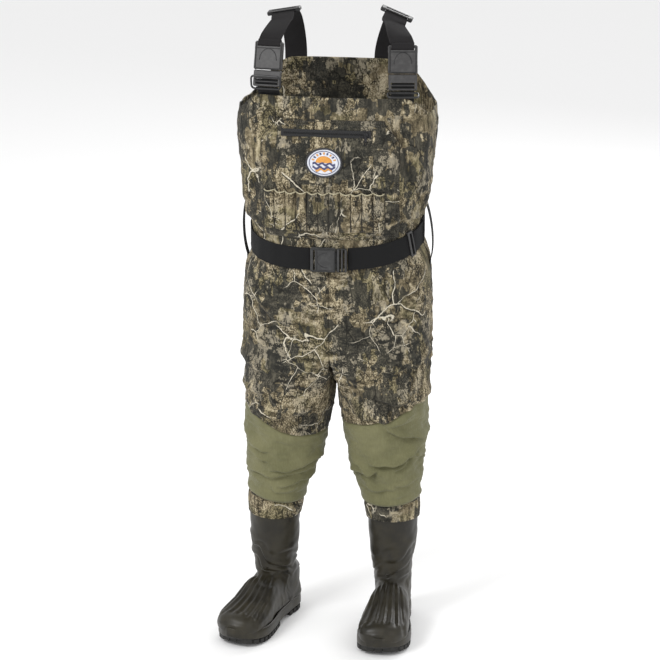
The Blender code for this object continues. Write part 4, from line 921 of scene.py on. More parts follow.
def make_cuff(side_name, look):
    """Elasticated camouflage band over the top of the boot shaft, gathered in small pleats."""
    side = SIDES[side_name]
    columns, rows = 260, 26
    u = np.linspace(0.0, 2.0, columns, endpoint=False)
    u = np.tile(u, (rows, 1))
    share = np.linspace(0.0, 1.0, rows)[:, None]
    turn = leg_turn(u)
    bottom = CUFF_BOTTOM + 0.004 * np.sin(turn * 1.0 + side)
    z = mix(CUFF_TOP + TUCK, bottom, share)
    base = leg_base(u, side, z)
    normal = surface_normal_leg(u, side, z)
    pleats = 0.5 + 0.5 * np.sin(turn * 19 + 1.7 * np.sin(turn * 5 + side) + 2.5 * share)
    fine = np.sin(turn * 47 + 1.1 * np.sin(turn * 9))
    bulk = np.sin(math.pi * np.clip(share * 1.05, 0, 1)) ** 0.8
    below_hem = smooth((olive_hem(side_name, u) + 0.002 - z) / 0.010)
    lift = -0.0064 + below_hem * (0.0048 + bulk * (0.0022 * pleats ** 1.4 + 0.0005 * fine))
    lift = np.maximum(lift, -0.0064)
    base = base + normal * lift[..., None]
    obj = sheet(f"gathered_cuff_{side_name}", base, look, 0.0014, (side * 0.1375 + LEG_SWAY, ANKLE_Y, 0.29),
                closed=True)
    finish_piece(obj, f"cuff_{side_name}")
    cut_sheet(obj, base, "gathered", f"boot_upper_{side_name}")


def surface_normal_leg(u, side, z):
    along = leg_base(u + 0.003, side, z) - leg_base(u - 0.003, side, z)
    down = leg_base(u, side, z + 0.002) - leg_base(u, side, z - 0.002)
    normal = np.cross(along, down) * side
    return normal / np.maximum(np.linalg.norm(normal, axis=-1, keepdims=True), 1e-9)


def make_cloth(looks):
    upper_panel("bib_front", 0.0, 0.5 - SEAM_U, looks["camo"], "front_bib")
    upper_panel("bib_back", 0.5 + SEAM_U, 1.0, looks["camo_back"], "back_panel")
    outer_columns, inner_columns = 96, 30
    front_outer = np.linspace(0.5 - SEAM_U, MIDDLE_U, outer_columns)
    front_inner = np.linspace(1.98, 1.5 + INSEAM_U, inner_columns)
    back_outer = np.linspace(0.5 + SEAM_U, 1.0 - MIDDLE_U, outer_columns)
    back_inner = np.linspace(1.02, 1.5 - INSEAM_U, inner_columns)
    for side_name in SIDES:
        trouser_panel(f"trouser_front_{side_name}", side_name, front_outer, front_inner, looks["camo"],
                      f"front_trouser_{side_name}")
        trouser_panel(f"trouser_back_{side_name}", side_name, back_outer, back_inner, looks["camo_back"],
                      f"back_trouser_{side_name}")
        lower_panel(f"olive_knee_{side_name}", side_name, np.concatenate([front_outer, front_inner]),
                    looks["olive"], f"knee_{side_name}")
        lower_panel(f"olive_calf_{side_name}", side_name, np.concatenate([back_outer, back_inner]),
                    looks["olive"], f"calf_{side_name}")
        make_cuff(side_name, looks["camo"])


# ---------------------------------------------------------------- pieces on the bib
def front_cloth(x, z, lift=0.0, back=False):
    """The finished cloth over the front (or back) of the torso at x and z."""
    x, z = np.broadcast_arrays(np.asarray(x, float), np.asarray(z, float))
    side = np.where(x >= 0, 1.0, -1.0)
    half_width, _, _, squareness = torso_sections(np.full_like(x, 0.9 if back else 0.1), side, z)
    u = np.arcsin(np.minimum(np.abs(x) / half_width, 0.999) ** (squareness / 2)) / math.pi
    return cloth_point(1.0 - u if back else u, side, z, lift)


def front_normal(x, z, back=False):
    step = 0.003
    across = front_cloth(x + step, z, back=back) - front_cloth(x - step, z, back=back)
    upward = front_cloth(x, z + step, back=back) - front_cloth(x, z - step, back=back)
    normal = np.cross(across, upward) * (-1.0 if back else 1.0)
    return normal / np.linalg.norm(normal, axis=-1, keepdims=True)


POCKET_TOP, POCKET_BOTTOM, POCKET_HALF = 1.214, 0.950, 0.152
LOOPS_LEFT, LOOPS_RIGHT, LOOPS_LOW, LOOPS_HIGH, SLEEVES = -0.141, 0.120, 0.972, 1.058, 11


def pocket_width(v):
    """Half width of the pocket's share v of its height; the top corners are cut off for the hands."""
    return POCKET_HALF * (1.0 - 0.22 * smooth((v - 0.80) / 0.20))


def pocket_lift(x, z):
    """How far the pocket's face stands off the bib: sewn flat at its edges, a little full inside."""
    v = np.clip((z - POCKET_BOTTOM) / (POCKET_TOP - POCKET_BOTTOM), 0.0, 1.0)
    edge = np.minimum(np.minimum(pocket_width(v) - np.abs(x), z - POCKET_BOTTOM), POCKET_TOP - z)
    full = 1.0 - np.exp(-np.maximum(edge, 0.0) / 0.014)
    fullness = 0.0016 + 0.0050 * full
    place = np.stack([x, z * 0.0, z], -1)
    return fullness + full * (0.0009 * waves(place, 31, 0.06) + 0.0006 * waves(place, 32, 0.025))


def on_pocket(x, z, lift=0.0):
    return front_cloth(x, z, pocket_lift(np.asarray(x, float), np.asarray(z, float)) + lift)


def make_pocket(looks):
    v = edged(0.0, 1.0, 60)[:, None]
    share = edged(-1.0, 1.0, 84)[None, :]
    x = share * pocket_width(v)
    z = mix(POCKET_BOTTOM, POCKET_TOP, v) + x * 0.0
    obj = sheet("chest_pocket_cloth", on_pocket(x, z), looks["camo_pocket"], 0.0014, (0, 0, 1.1),
                outward=True)
    finish_piece(obj, "chest_pocket")
    cut_sheet(obj, on_pocket(x, z), "stretched", "front_bib")
    # The dark flat cords along the pocket's top edge and hand openings are painted shadow of the gaps
    # there.
    top_x = np.linspace(-pocket_width(1.0), pocket_width(1.0), 90)
    rope("pocket_welt_top", on_pocket(top_x, np.full(90, POCKET_TOP), 0.0006), 0.0010,
         looks["painted_seam_shadow"],
         flat=0.8)
    for side_name, hand in SIDES.items():
        v_open = np.linspace(0.62, 1.0, 60)
        opening_shadow_path = on_pocket(hand * pocket_width(v_open), mix(POCKET_BOTTOM, POCKET_TOP, v_open), 0.0006)
        rope(f"pocket_welt_{side_name}", opening_shadow_path, 0.0014, looks["painted_seam_shadow"], flat=0.8)
    lines = []
    for inset in (0.0035, 0.0100):
        v_side = np.linspace(inset / 0.264, 1.0 - inset / 0.264, 70)
        for hand in (-1, 1):
            edge_x = hand * (pocket_width(v_side) - inset)
            edge_z = mix(POCKET_BOTTOM, POCKET_TOP, v_side)
            lines.append((on_pocket(edge_x, edge_z, 0.0016), front_normal(edge_x, edge_z)))
        for height, width in ((POCKET_BOTTOM + inset, pocket_width(0.0)),
                              (POCKET_TOP - inset, pocket_width(1.0))):
            edge_x = np.linspace(inset - width, width - inset, 90)
            edge_z = np.full(90, height)
            lines.append((on_pocket(edge_x, edge_z, 0.0016), front_normal(edge_x, edge_z)))
    stitch_rows("pocket_stitches", lines, looks["seam_thread"])


def make_shell_loops(looks):
    """Eleven sleeves in one strip: each bulges between two lines of stitching."""
    per = 12
    column = np.linspace(0.0, SLEEVES, SLEEVES * per + 1)[None, :]
    row = np.linspace(0.0, 1.0, 26)[:, None]
    arch = np.abs(np.sin(math.pi * column))
    x = mix(LOOPS_LEFT, LOOPS_RIGHT, column / SLEEVES) + row * 0.0
    top = LOOPS_HIGH - 0.0026 * arch ** 1.5 + 0.0010 * np.sin(column * 2.1)
    z = mix(LOOPS_LOW, top, row)
    opening = smooth(row / 0.9)
    bulge = (0.0030 + 0.0070 * opening) * arch ** 0.55
    grid = on_pocket(x, z, 0.0016 + bulge)
    obj = sheet("shell_sleeves", grid, looks["camo"], 0.0012, (0, 0, 1.1), outward=True)
    finish_piece(obj, "shell_loops")
    cut_sheet(obj, grid, "gathered", "chest_pocket")
    edge = on_pocket(x[-1], z[-1], 0.0022 + bulge[-1])
    rope("shell_sleeve_binding", edge, 0.0013, looks["binding"])
    lines = []
    for k in range(SLEEVES + 1):
        seam_x = np.full(24, mix(LOOPS_LEFT, LOOPS_RIGHT, k / SLEEVES))
        seam_z = np.linspace(LOOPS_LOW + 0.001, LOOPS_HIGH - 0.001, 24)
        lines.append((on_pocket(seam_x, seam_z, 0.0040), front_normal(seam_x, seam_z)))
        # A dark flat cord along each seam is painted shade in the hollow between two sleeves.
        rope(f"shell_sleeve_seam_painted_shade_{k}", on_pocket(seam_x, seam_z, 0.0036), 0.0018, looks["painted_seam_shadow"],
             flat=0.8)
    low_x = np.linspace(LOOPS_LEFT, LOOPS_RIGHT, 120)
    low_z = np.full(120, LOOPS_LOW + 0.003)
    low_lift = 0.0040 + 0.0022 * np.abs(np.sin(math.pi * np.linspace(0, SLEEVES, 120))) ** 0.65
    lines.append((on_pocket(low_x, low_z, low_lift), front_normal(low_x, low_z)))
    stitch_rows("shell_sleeve_stitches", lines, looks["seam_thread"])


def rope(name, path, radius, material, body=BODY, sides=8, closed=False, flat=1.0):
    """A round or flattened cord of thread along a dense path."""
    path = np.asarray(path, float)
    count = len(path)
    if closed:
        way = np.roll(path, -1, 0) - np.roll(path, 1, 0)
    else:
        way = np.gradient(path, axis=0)
    way /= np.linalg.norm(way, axis=1, keepdims=True)
    up = np.tile(np.array((0.0, -1.0, 0.15)), (count, 1))
    across = np.cross(way, up)
    across /= np.linalg.norm(across, axis=1, keepdims=True)
    up = np.cross(across, way)
    turns = np.linspace(0.0, math.tau, sides, endpoint=False)
    grid = (path[:, None] + across[:, None] * np.cos(turns)[None, :, None] * radius
            + up[:, None] * np.sin(turns)[None, :, None] * radius * flat)
    if closed:
        grid = np.concatenate([grid, grid[:1]])
        faces = grid_faces(count, sides, closed=True)
        faces += [((count - 1) * sides + i, (count - 1) * sides + (i + 1) % sides, (i + 1) % sides, i)
                  for i in range(sides)]
        verts = grid[:-1]
    else:
        faces = grid_faces(count, sides, closed=True)
        faces += [tuple(range(sides))[::-1], tuple((count - 1) * sides + i for i in range(sides))]
        verts = grid
    obj = to_object(name, verts, faces, material)
    face_outward(obj)
    return finish_piece(obj, None, body)


BADGE_X, BADGE_Z, BADGE_A, BADGE_B = -0.010, 1.124, 0.040, 0.032


def badge_place(a, b, lift=0.0):
    """A point of the badge from its own coordinates, -1 to 1 across and up."""
    x = BADGE_X + BADGE_A * np.asarray(a, float)
    z = BADGE_Z + BADGE_B * np.asarray(b, float)
    middle = front_cloth(np.array(BADGE_X), np.array(BADGE_Z), 0.0100)
    point = np.stack([x, np.full_like(x, middle[1]), z], -1)
    surface = on_pocket(x, z, 0.0026 + lift)
    point[..., 1] = surface[..., 1]
    return point


def badge_strip(name, along, low, high, lift, look, ends=(0.0, 1.0)):
    """Embroidered band: low and high give its edges in badge coordinates along its length."""
    t = np.linspace(*ends, along)[None, :]
    share = np.linspace(0.0, 1.0, 5)[:, None]
    a0, b0 = low(t)
    a1, b1 = high(t)
    crown = np.sin(math.pi * share) * 0.0006 + t * 0.0
    obj = sheet(name, badge_place(mix(a0, a1, share), mix(b0, b1, share), lift + crown), look, 0.0005,
                (0, 0, 1.1), outward=True)
    return finish_piece(obj, None)


def make_badge(looks):
    turns = np.linspace(0.0, math.tau, 72, endpoint=False)[None, :]
    radii = np.array([0.02, 0.2, 0.4, 0.6, 0.8, 0.96])[:, None]
    field = badge_place(radii * np.cos(turns), radii * np.sin(turns), 0.0)
    verts = field.reshape(-1, 3)
    faces = grid_faces(len(radii), 72, closed=True) + [tuple(range(72))[::-1]]
    obj = to_object("badge_field", verts, faces, looks["white_thread"])
    turn_out(obj, (0, 0, 1.1))
    thicken(obj, 0.0012, outward=True)
    finish_piece(obj, "badge")
    ring = np.linspace(0.0, math.tau, 120, endpoint=False)
    rope("badge_rim", badge_place(0.965 * np.cos(ring), 0.955 * np.sin(ring), 0.0012), 0.0020,
         looks["black_thread"], sides=10, closed=True, flat=0.7)
    rope("badge_inner_ring", badge_place(0.80 * np.cos(ring), 0.78 * np.sin(ring), 0.0014), 0.0008,
         looks["blue_thread"], closed=True)

    def arc(radius, from_turn, to_turn):
        def edge(t):
            turn = np.radians(mix(from_turn, to_turn, t))
            return radius * np.cos(turn), radius * np.sin(turn)
        return edge

    def wave(height, phase):
        def edge(t):
            return mix(-0.62, 0.62, t), height + 0.07 * np.sin(mix(0.0, 3.0 * math.tau, t) + phase)
        return edge

    badge_strip("badge_sun", 24, arc(0.02, 180, 0), arc(0.46, 180, 0), 0.0013, looks["orange_thread"])
    for k, height in enumerate((-0.08, -0.34)):
        badge_strip(f"badge_wave_{k}", 60, wave(height - 0.07, k * 1.5), wave(height + 0.07, k * 1.5),
                    0.0015,
                    looks["blue_thread"])
    badge_strip("badge_wave_warm", 60, wave(-0.60 + 0.05, 0.8), wave(-0.47 + 0.05, 0.8), 0.0015,
                looks["orange_thread"], (0.14, 0.86))
    for k in range(9):
        turn = 20 + 17.5 * k
        badge_strip(f"badge_ray_{k}", 4, arc(0.56, turn - 4, turn + 4), arc(0.70, turn - 4, turn + 4),
                    0.0014,
                    looks["blue_thread"] if k % 2 else looks["orange_thread"])


def zip_circle():
    """Centre and radius of the zip's curve, read from the slider's place and its joint's axis."""
    centre = np.array(JOINTS["zip_slide"]["pos_m"]) - np.array(SHIFT)
    low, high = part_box("zip_slider")
    middle = (np.array(low) + np.array(high)) / 2 - np.array(SHIFT)
    return centre, math.hypot(*(middle - centre)[:2]) - 0.0050


def zip_point(x, up, lift):
    """The zip follows the circle that its slider travels on, a little in front of the pocket."""
    centre, radius = zip_circle()
    lean = math.asin(float(surface_normal(np.array(0.001), 1.0, np.array(ZIP_Z))[2]))
    angle = np.arcsin((np.asarray(x, float) - centre[0]) / radius)
    out = np.stack([np.sin(angle), -np.cos(angle), angle * 0.0], -1)
    x_up = np.asarray(up, float) + angle * 0.0
    point = centre + out * (radius + np.asarray(lift, float) + 0.0 * angle)[..., None]
    point = point - out * (x_up * math.tan(lean))[..., None]
    point[..., 2] = ZIP_Z + x_up
    return point


def make_zip(looks):
    x = np.linspace(ZIP_FROM, ZIP_TO, 120)[None, :]
    up = np.array((-0.0080, -0.0076, -0.0060, -0.0040, -0.0022, 0.0, 0.0022, 0.0040, 0.0060, 0.0076,
                   0.0080))[:, None]
    swell = 0.0006 * np.exp(-(up / 0.003) ** 2)
    obj = sheet("zip_tape_cloth", zip_point(x + up * 0, up + x * 0, 0.0020 + swell + x * 0),
                looks["zip"], 0.0010,
                (0, 0, 1.18), outward=True)
    finish_piece(obj, "zip_tape")
    verts, faces = [], []
    pitch = 0.0024
    for k in range(int((ZIP_TO - ZIP_FROM - 0.012) / pitch)):
        for hand in (-1, 1):
            x0 = ZIP_FROM + 0.006 + pitch * (k + (0.25 if hand > 0 else 0.75))
            half = pitch * 0.20
            corners = [(dx, du, dl) for dl in (0.0026, 0.0044) for dx, du in
                       ((-half, hand * -0.0006), (half, hand * -0.0006), (half, hand * 0.0022),
                        (-half, hand * 0.0022))]
            base = len(verts)
            verts += [zip_point(np.array(x0 + dx), np.array(du), np.array(dl)) for dx, du, dl in corners]
            faces += [tuple(base + i for i in face) for face in
                      ((3, 2, 1, 0), (4, 5, 6, 7), (0, 1, 5, 4), (1, 2, 6, 5), (2, 3, 7, 6), (3, 0, 4, 7))]
    teeth = to_object("zip_teeth", verts, faces, looks["zip_metal"])
    face_outward(teeth)
    soft_edges(teeth, 0.0002, 1)
    teeth.data.shade_flat()
    finish_piece(teeth, None)
    lines = []
    for height in (-0.0066, 0.0066):
        line_x = np.linspace(ZIP_FROM + 0.002, ZIP_TO - 0.002, 100)
        line = zip_point(line_x, np.full(100, height), np.full(100, 0.0033))
        lines.append((line, np.tile((0.0, -1.0, 0.1), (100, 1))))
    for end in (ZIP_FROM + 0.0015, ZIP_TO - 0.0015):
        line_up = np.linspace(-0.0066, 0.0066, 12)
        line = zip_point(np.full(12, end), line_up, np.full(12, 0.0033))
        lines.append((line, np.tile((0.0, -1.0, 0.1), (12, 1))))
    stitch_rows("zip_stitches", lines, looks["black_thread"], 0.0030, 0.00035)


# ---------------------------------------------------------------- belt
def belt_point(u, side, rise=0.0, lift=BELT_LIFT):
    """A point on the belt's inner face."""
    u = np.asarray(u, float)
    height = belt_height(u, side)
    half_width, front, back, squareness = torso_sections(u, side, height)
    turn = math.pi * u
    power = 2.0 / squareness
    reach = np.where(np.cos(turn) > 0, -(front + lift), back + lift)
    return np.stack([side * (half_width + lift) * np.abs(np.sin(turn)) ** power,
                     reach * np.abs(np.cos(turn)) ** power, height + rise], -1)


def belt_u_at_x(x, lift=BELT_LIFT):
    side = 1 if x >= 0 else -1
    sections_here = torso_sections(0.1, side, belt_height(0.1, side))
    half_width, squareness = float(sections_here[0]), float(sections_here[3])
    return math.asin((abs(x) / (half_width + lift)) ** (squareness / 2)) / math.pi


BELT_BUCKLE_X, BELT_SOCKET, BELT_PLUG, BELT_ADJUSTER_U = 0.016, 0.057, 0.024, 0.335
BELT_BUCKLE_WIDTH, BELT_BUCKLE_THICK = 0.056, 0.0115


def belt_grid(u, side, extra=0.0):
    """Belt webbing: nearly flat across, its edges a little thicker, waving very slightly along."""
    share = np.concatenate([[-1.0, -0.985, -0.94], np.linspace(-0.85, 0.85, 13),
                            [0.94, 0.985, 1.0]])[:, None]
    u, side = np.asarray(u, float)[None, :], np.asarray(side, float)[None, :]
    lift = BELT_LIFT + extra + 0.0004 * np.sin(u * 70.0) + 0.0003 * (np.abs(share) > 0.95)
    grid = belt_point(u + share * 0, side + share * 0, share * WEBBING / 2, lift + share * 0)
    return grid


def make_belt(looks):
    socket_end = belt_u_at_x(BELT_BUCKLE_X - BELT_SOCKET - 0.001)
    plug_end = belt_u_at_x(BELT_BUCKLE_X + BELT_PLUG + 0.001)
    right = np.linspace(socket_end, 0.998, 190)
    left = np.linspace(0.998, BELT_ADJUSTER_U, 130)
    u = np.concatenate([right, left])
    side = np.concatenate([np.full(190, -1.0), np.full(130, 1.0)])
    obj = sheet("belt_main_run", belt_grid(u, side), looks["webbing"], BELT_THICK, (0, 0, 0.94),
                outward=True)
    finish_piece(obj, "belt_webbing")
    free = np.linspace(plug_end, BELT_ADJUSTER_U - 0.0022, 70)
    obj = sheet("belt_free_webbing", belt_grid(free, np.ones(70)), looks["webbing"], BELT_THICK,
                (0, 0, 0.93),
                outward=True)
    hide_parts("belt_free_run")
    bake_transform(obj)
    # tail of the webbing, folded back under the adjuster and held by an elastic keeper
    tail = np.linspace(BELT_ADJUSTER_U + 0.012, BELT_ADJUSTER_U + 0.150, 60)
    obj = sheet("belt_tail", belt_grid(tail, np.ones(60), 0.0026), looks["webbing"], LIGHT_TAPE,
                (0, 0, 0.94),
                outward=True)
    finish_piece(obj, None)
    keeper = BELT_ADJUSTER_U + 0.118
    keeper_band("belt_keeper", np.linspace(keeper, keeper + 0.016, 8), looks["elastic"])


def keeper_band(name, u, material):
    """Elastic ring round the webbing and its tail."""
    rows = []
    for rise, lift in ((-0.0262, 0.0018), (-0.0266, 0.0052), (-0.0240, 0.0074), (0.0, 0.0078),
                       (0.0240, 0.0074),
                       (0.0266, 0.0052), (0.0262, 0.0018)):
        rows.append(belt_point(u, 1.0, rise, BELT_LIFT - 0.0018 + lift))
    obj = sheet(name, np.array(rows), material, 0.0010, (0, 0, 0.94), outward=True)
    return finish_piece(obj, None)


BELT_LOOP_WIDTH, BELT_LOOP_BOW = 0.022, 0.034


def make_belt_loops(looks):
    """Webbing keepers at the sides: sewn above and below, standing off over the belt."""
    for side_name, side in SIDES.items():
        anchors = [np.array(base_point(0.5, side, z)) for z in (1.002, 0.872)]
        start = anchors[0] + np.array((side * 0.0012, 0, 0))
        end = anchors[1] + np.array((side * 0.0012, 0, 0))
        leave, arrive = (np.array((hand * BELT_LOOP_BOW, 0, -0.10)) for hand in (side, -side))
        path = np.array(hermite(start, leave, end, arrive, 60))
        ends_up = np.array((0.0, 0.0, 0.020))
        path = np.concatenate([[path[0] + ends_up, path[0] + ends_up * 0.5], path,
                               [path[-1] - ends_up * 0.5, path[-1] - ends_up]])
        across = np.tile((0.0, -side * 1.0, 0.0), (len(path), 1))
        obj = tape(f"belt_loop_tape_{side_name}", path, across, BELT_LOOP_WIDTH, looks["webbing"], 13)
        turn_out(obj, (side * 0.15, 0, 0.93))
        thicken(obj, LIGHT_TAPE, outward=True)
        soft_edges(obj)
        finish_piece(obj, f"belt_loop_{side_name}")


def hermite(start, start_way, end, end_way, steps):
    points = []
    for i in range(steps + 1):
        t = i / steps
        points.append(start * (1 + 2 * t) * (1 - t) ** 2 + start_way * t * (1 - t) ** 2
                      + end * t * t * (3 - 2 * t) - end_way * t * t * (1 - t))
    return points


# ---------------------------------------------------------------- suspenders
def frame_of(along, out, place):
    across = out.cross(along)
    return Matrix.Translation(place) @ Matrix((along, across, out)).transposed().to_4x4()


def buckle_place(side_name):
    """Frame of a suspender buckle: x down the strap, y across, z to the front."""
    side = SIDES[side_name]
    slope = math.radians(BUCKLE_SLOPE)
    turn = Matrix.Rotation(math.radians(BUCKLE_YAW) * side, 4, "Z")
    down = Vector((0, -math.sin(slope), -math.cos(slope)))
    out = Vector((0, -math.cos(slope), math.sin(slope)))
    place = Vector((side * STRAP_FRONT_X[side_name], BUCKLE_Y, BUCKLE_Z))
    return Matrix.Translation(place) @ turn @ frame_of(down, out, Vector())


STRAP_SOCKET, STRAP_PLUG = 0.062, 0.036
STRAP_BUCKLE_WIDTH, STRAP_BUCKLE_THICK = 0.064, 0.0125


def crest_frame(side_name):
    side = SIDES[side_name]
    tilt = math.radians(CREST_TILT[side_name])
    across = Vector((math.cos(tilt), 0, -side * math.sin(tilt)))
    upward = Vector((side * math.sin(tilt), 0, math.cos(tilt)))
    top = Vector((side * STRAP_CREST_X[side_name], CREST_Y, CREST_Z))
    return top - upward * CREST_RADIUS, across, upward


def crest_arc(side_name, from_degrees, to_degrees, steps):
    centre, across, upward = crest_frame(side_name)
    angles = [mix(math.radians(from_degrees), math.radians(to_degrees), i / (steps - 1))
              for i in range(steps)]
    return [centre + (upward * math.cos(a) + Vector((0, 1, 0)) * math.sin(a)) * CREST_RADIUS
            for a in angles]


def strap_sides(points, start_across, end_across, hold_start=0, hold_end=0):
    """Directions across a strap, turning evenly and kept square to its path."""
    sides = []
    count = len(points)
    for i in range(count):
        share = float(smooth((i - hold_start) / max(count - 1 - hold_start - hold_end, 1)))
        wish = start_across.lerp(end_across, share)
        way = points[min(i + 1, count - 1)] - points[max(i - 1, 0)]
        normal = way.cross(wish).normalized()
        sides.append(normal.cross(way).normalized())
    sides[0], sides[-1] = start_across.normalized(), end_across.normalized()
    return sides


def strap_tape(name, path, sides, material, inside):
    """Elastic strap: the CAD route resampled finely, rib edges slightly raised."""
    path, sides = np.array([tuple(p) for p in path]), np.array([tuple(s) for s in sides])
    dense = smooth_path(path, 0.003)
    key = np.concatenate([[0.0], np.cumsum(np.linalg.norm(np.diff(path, axis=0), axis=1))])
    fine = np.concatenate([[0.0], np.cumsum(np.linalg.norm(np.diff(dense, axis=0), axis=1))])
    fine *= key[-1] / fine[-1]
    across = np.stack([np.interp(fine, key, sides[:, i]) for i in range(3)], -1)
    obj = tape(name, dense, across, WEBBING, material, 15)
    turn_out(obj, inside)
    thicken(obj, STRAP_THICK, outward=True)
    soft_edges(obj, 0.0005)
    return obj, dense


def webbing_wrap(name, place, across, route, look, body, looks):
    """Webbing led round the bars of a buckle: its route lies in the buckle's own length and depth."""
    points = [tuple(place @ Vector((x, 0.0, z))) for x, z in route]
    path = smooth_path(np.array(points), 0.0006)
    sides = np.tile(tuple(across), (len(path), 1))
    obj = tape(name, path, sides, WEBBING - WRAP_MARGIN, looks[look], 13)
    thickness = obj.modifiers.new("thickness", "SOLIDIFY")
    thickness.thickness = WRAP_THICK
    thickness.offset = 0.0
    return finish_piece(obj, None, body)


def make_suspender(side_name, looks):
    side = SIDES[side_name]
    place = buckle_place(side_name)
    centre, across, upward = crest_frame(side_name)
    inside = centre - upward * 0.1
    level = Vector((1, 0, 0))
    sewn = [Vector(front_cloth(np.array(side * STRAP_BACK_X[side_name]), np.array(z), 0.0094, back=True))
            for z in (1.236, 1.262, 1.288)]
    arc = crest_arc(side_name, 38, 0, 8)
    rise = [Vector(p) for p in hermite(sewn[-1] + Vector((0, 0.0006, 0.012)), Vector((0, 0.010, 0.09)),
                                       arc[0],
                                       (arc[1] - arc[0]).normalized() * 0.09, 8)]
    path = sewn + rise[:-1] + arc
    obj, _ = strap_tape(f"strap_back_elastic_{side_name}", path, strap_sides(path, level, across, 2, 8),
                           looks["elastic"], inside)
    finish_piece(obj, f"strap_back_{side_name}")

    end = (place @ Matrix.Translation((-STRAP_SOCKET - 0.0025, 0, 0))).translation
    down = place.to_3x3() @ Vector((1, 0, 0))
    buckle_across = place.to_3x3() @ Vector((0, 1, 0))
    if buckle_across.x < 0:
        buckle_across.negate()
    arc = crest_arc(side_name, -0.35, -28, 7)
    drift = Vector((end.x - arc[-1].x, 0.0, 0.0))
    leave, arrive = (arc[-1] - arc[-2]).normalized() * 0.05, down * 0.05
    leave.x = arrive.x = drift.x
    path = arc + [Vector(p) for p in hermite(arc[-1], leave, end, arrive, 6)][1:]
    obj, dense = strap_tape(f"strap_front_elastic_{side_name}", path,
                               strap_sides(path, across, buckle_across, 7, 0), looks["elastic"], inside)
    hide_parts(f"strap_front_{side_name}")
    start = Vector(dense[len(dense) // 4]) + SHIFT
    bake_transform(obj)

    bar, face = -STRAP_SOCKET, 0.00655
    webbing_wrap(f"strap_loop_{side_name}", place, buckle_across, (
        (bar - 0.0052, 0.0016), (bar - 0.0034, 0.0030), (bar - 0.0012, 0.0056), (bar + 0.0012, face),
        (bar + 0.0070, face), (bar + 0.0088, 0.0056), (bar + 0.0096, 0.0030), (bar + 0.0097, 0.0),
        (bar + 0.0094, -0.0040), (bar + 0.0080, -0.0078), (bar + 0.0040, -0.0087), (bar - 0.0006, -0.0080),
        (bar - 0.0040, -0.0054)), "elastic", f"socket_{side_name}", looks)
    slot = STRAP_PLUG - 0.0065
    webbing_wrap(f"anchor_loop_{side_name}", place, buckle_across, (
        (slot + 0.0013, -0.0042), (slot + 0.0010, 0.0), (slot - 0.0004, 0.0040), (slot - 0.0026, 0.0054),
        (slot - 0.0056, 0.0054), (slot - 0.0076, 0.0040), (slot - 0.0088, 0.0), (slot - 0.0092, -0.0042)),
        "webbing", BODY, looks)

    start = (place @ Matrix.Translation((STRAP_PLUG + 0.0008, 0, -0.002))).translation
    x = side * STRAP_FRONT_X[side_name]
    offsets = np.linspace(-WEBBING / 2, WEBBING / 2, 17)
    rows = [np.array(start) + np.array(buckle_across)[None, :] * offsets[:, None]]
    for z in (BIB_FRONT + 0.004, BIB_FRONT - 0.006, BIB_FRONT - 0.018, BIB_FRONT - 0.032):
        rows.append(front_cloth(x + offsets, np.full(17, z), -(CLOTH + 0.0030)))
    key = np.arange(len(rows))
    fine = np.linspace(0, len(rows) - 1, 25)
    columns = np.array(rows)
    dense_rows = np.stack([[np.interp(fine, key, columns[:, i, axis]) for axis in range(3)]
                           for i in range(17)])
    obj = sheet(f"anchor_webbing_{side_name}", dense_rows.transpose(2, 0, 1), looks["webbing"], LIGHT_TAPE,
                (x, 0.1, 1.25), outward=True)
    finish_piece(obj, f"anchor_strap_{side_name}")


def make_back_patch(looks):
    half, low, high = 0.150, 1.222, 1.292
    x = edged(-half, half, 80)[None, :]
    z = edged(low, high, 18)[:, None]
    d = np.minimum(half - np.abs(x), np.minimum(z - low, high - z))
    lift = 0.0012 + 0.0020 * (1 - np.exp(-np.maximum(d, 0) / 0.006))
    grid = front_cloth(x + z * 0, z + x * 0, lift, back=True)
    obj = sheet("back_patch_cloth", grid, looks["camo_pocket"], 0.0020, (0, 0, 1.25), outward=True)
    finish_piece(obj, "back_strap_patch")
    cut_sheet(obj, grid, "stretched", "back_panel")
    lines = []
    for inset in (0.004, 0.010):
        run = np.linspace(-half + inset, half - inset, 90)
        for height in (low + inset, high - inset):
            level = np.full(90, height)
            lines.append((front_cloth(run, level, 0.0054, back=True), front_normal(run, level, back=True)))
        climb = np.linspace(low + inset, high - inset, 24)
        for hand in (-1, 1):
            edge = np.full(24, hand * (half - inset))
            lines.append((front_cloth(edge, climb, 0.0054, back=True),
                          front_normal(edge, climb, back=True)))
    stitch_rows("back_patch_stitches", lines, looks["seam_thread"])
    box_lines = []
    for side_name, side in SIDES.items():
        middle = side * STRAP_BACK_X[side_name]
        corners = [(-0.020, 1.240), (0.020, 1.240), (0.020, 1.280), (-0.020, 1.280), (-0.020, 1.240),
                   (0.020, 1.280),
                   (0.020, 1.240), (-0.020, 1.280)]
        for (x0, z0), (x1, z1) in zip(corners, corners[1:]):
            t = np.linspace(0, 1, 12)
            run, climb = middle + mix(x0, x1, t), mix(z0, z1, t)
            box_lines.append((front_cloth(run, climb, 0.0094 + STRAP_THICK + 0.0006, back=True),
                              front_normal(run, climb, back=True)))
    stitch_rows("strap_end_stitches", box_lines, looks["black_thread"])


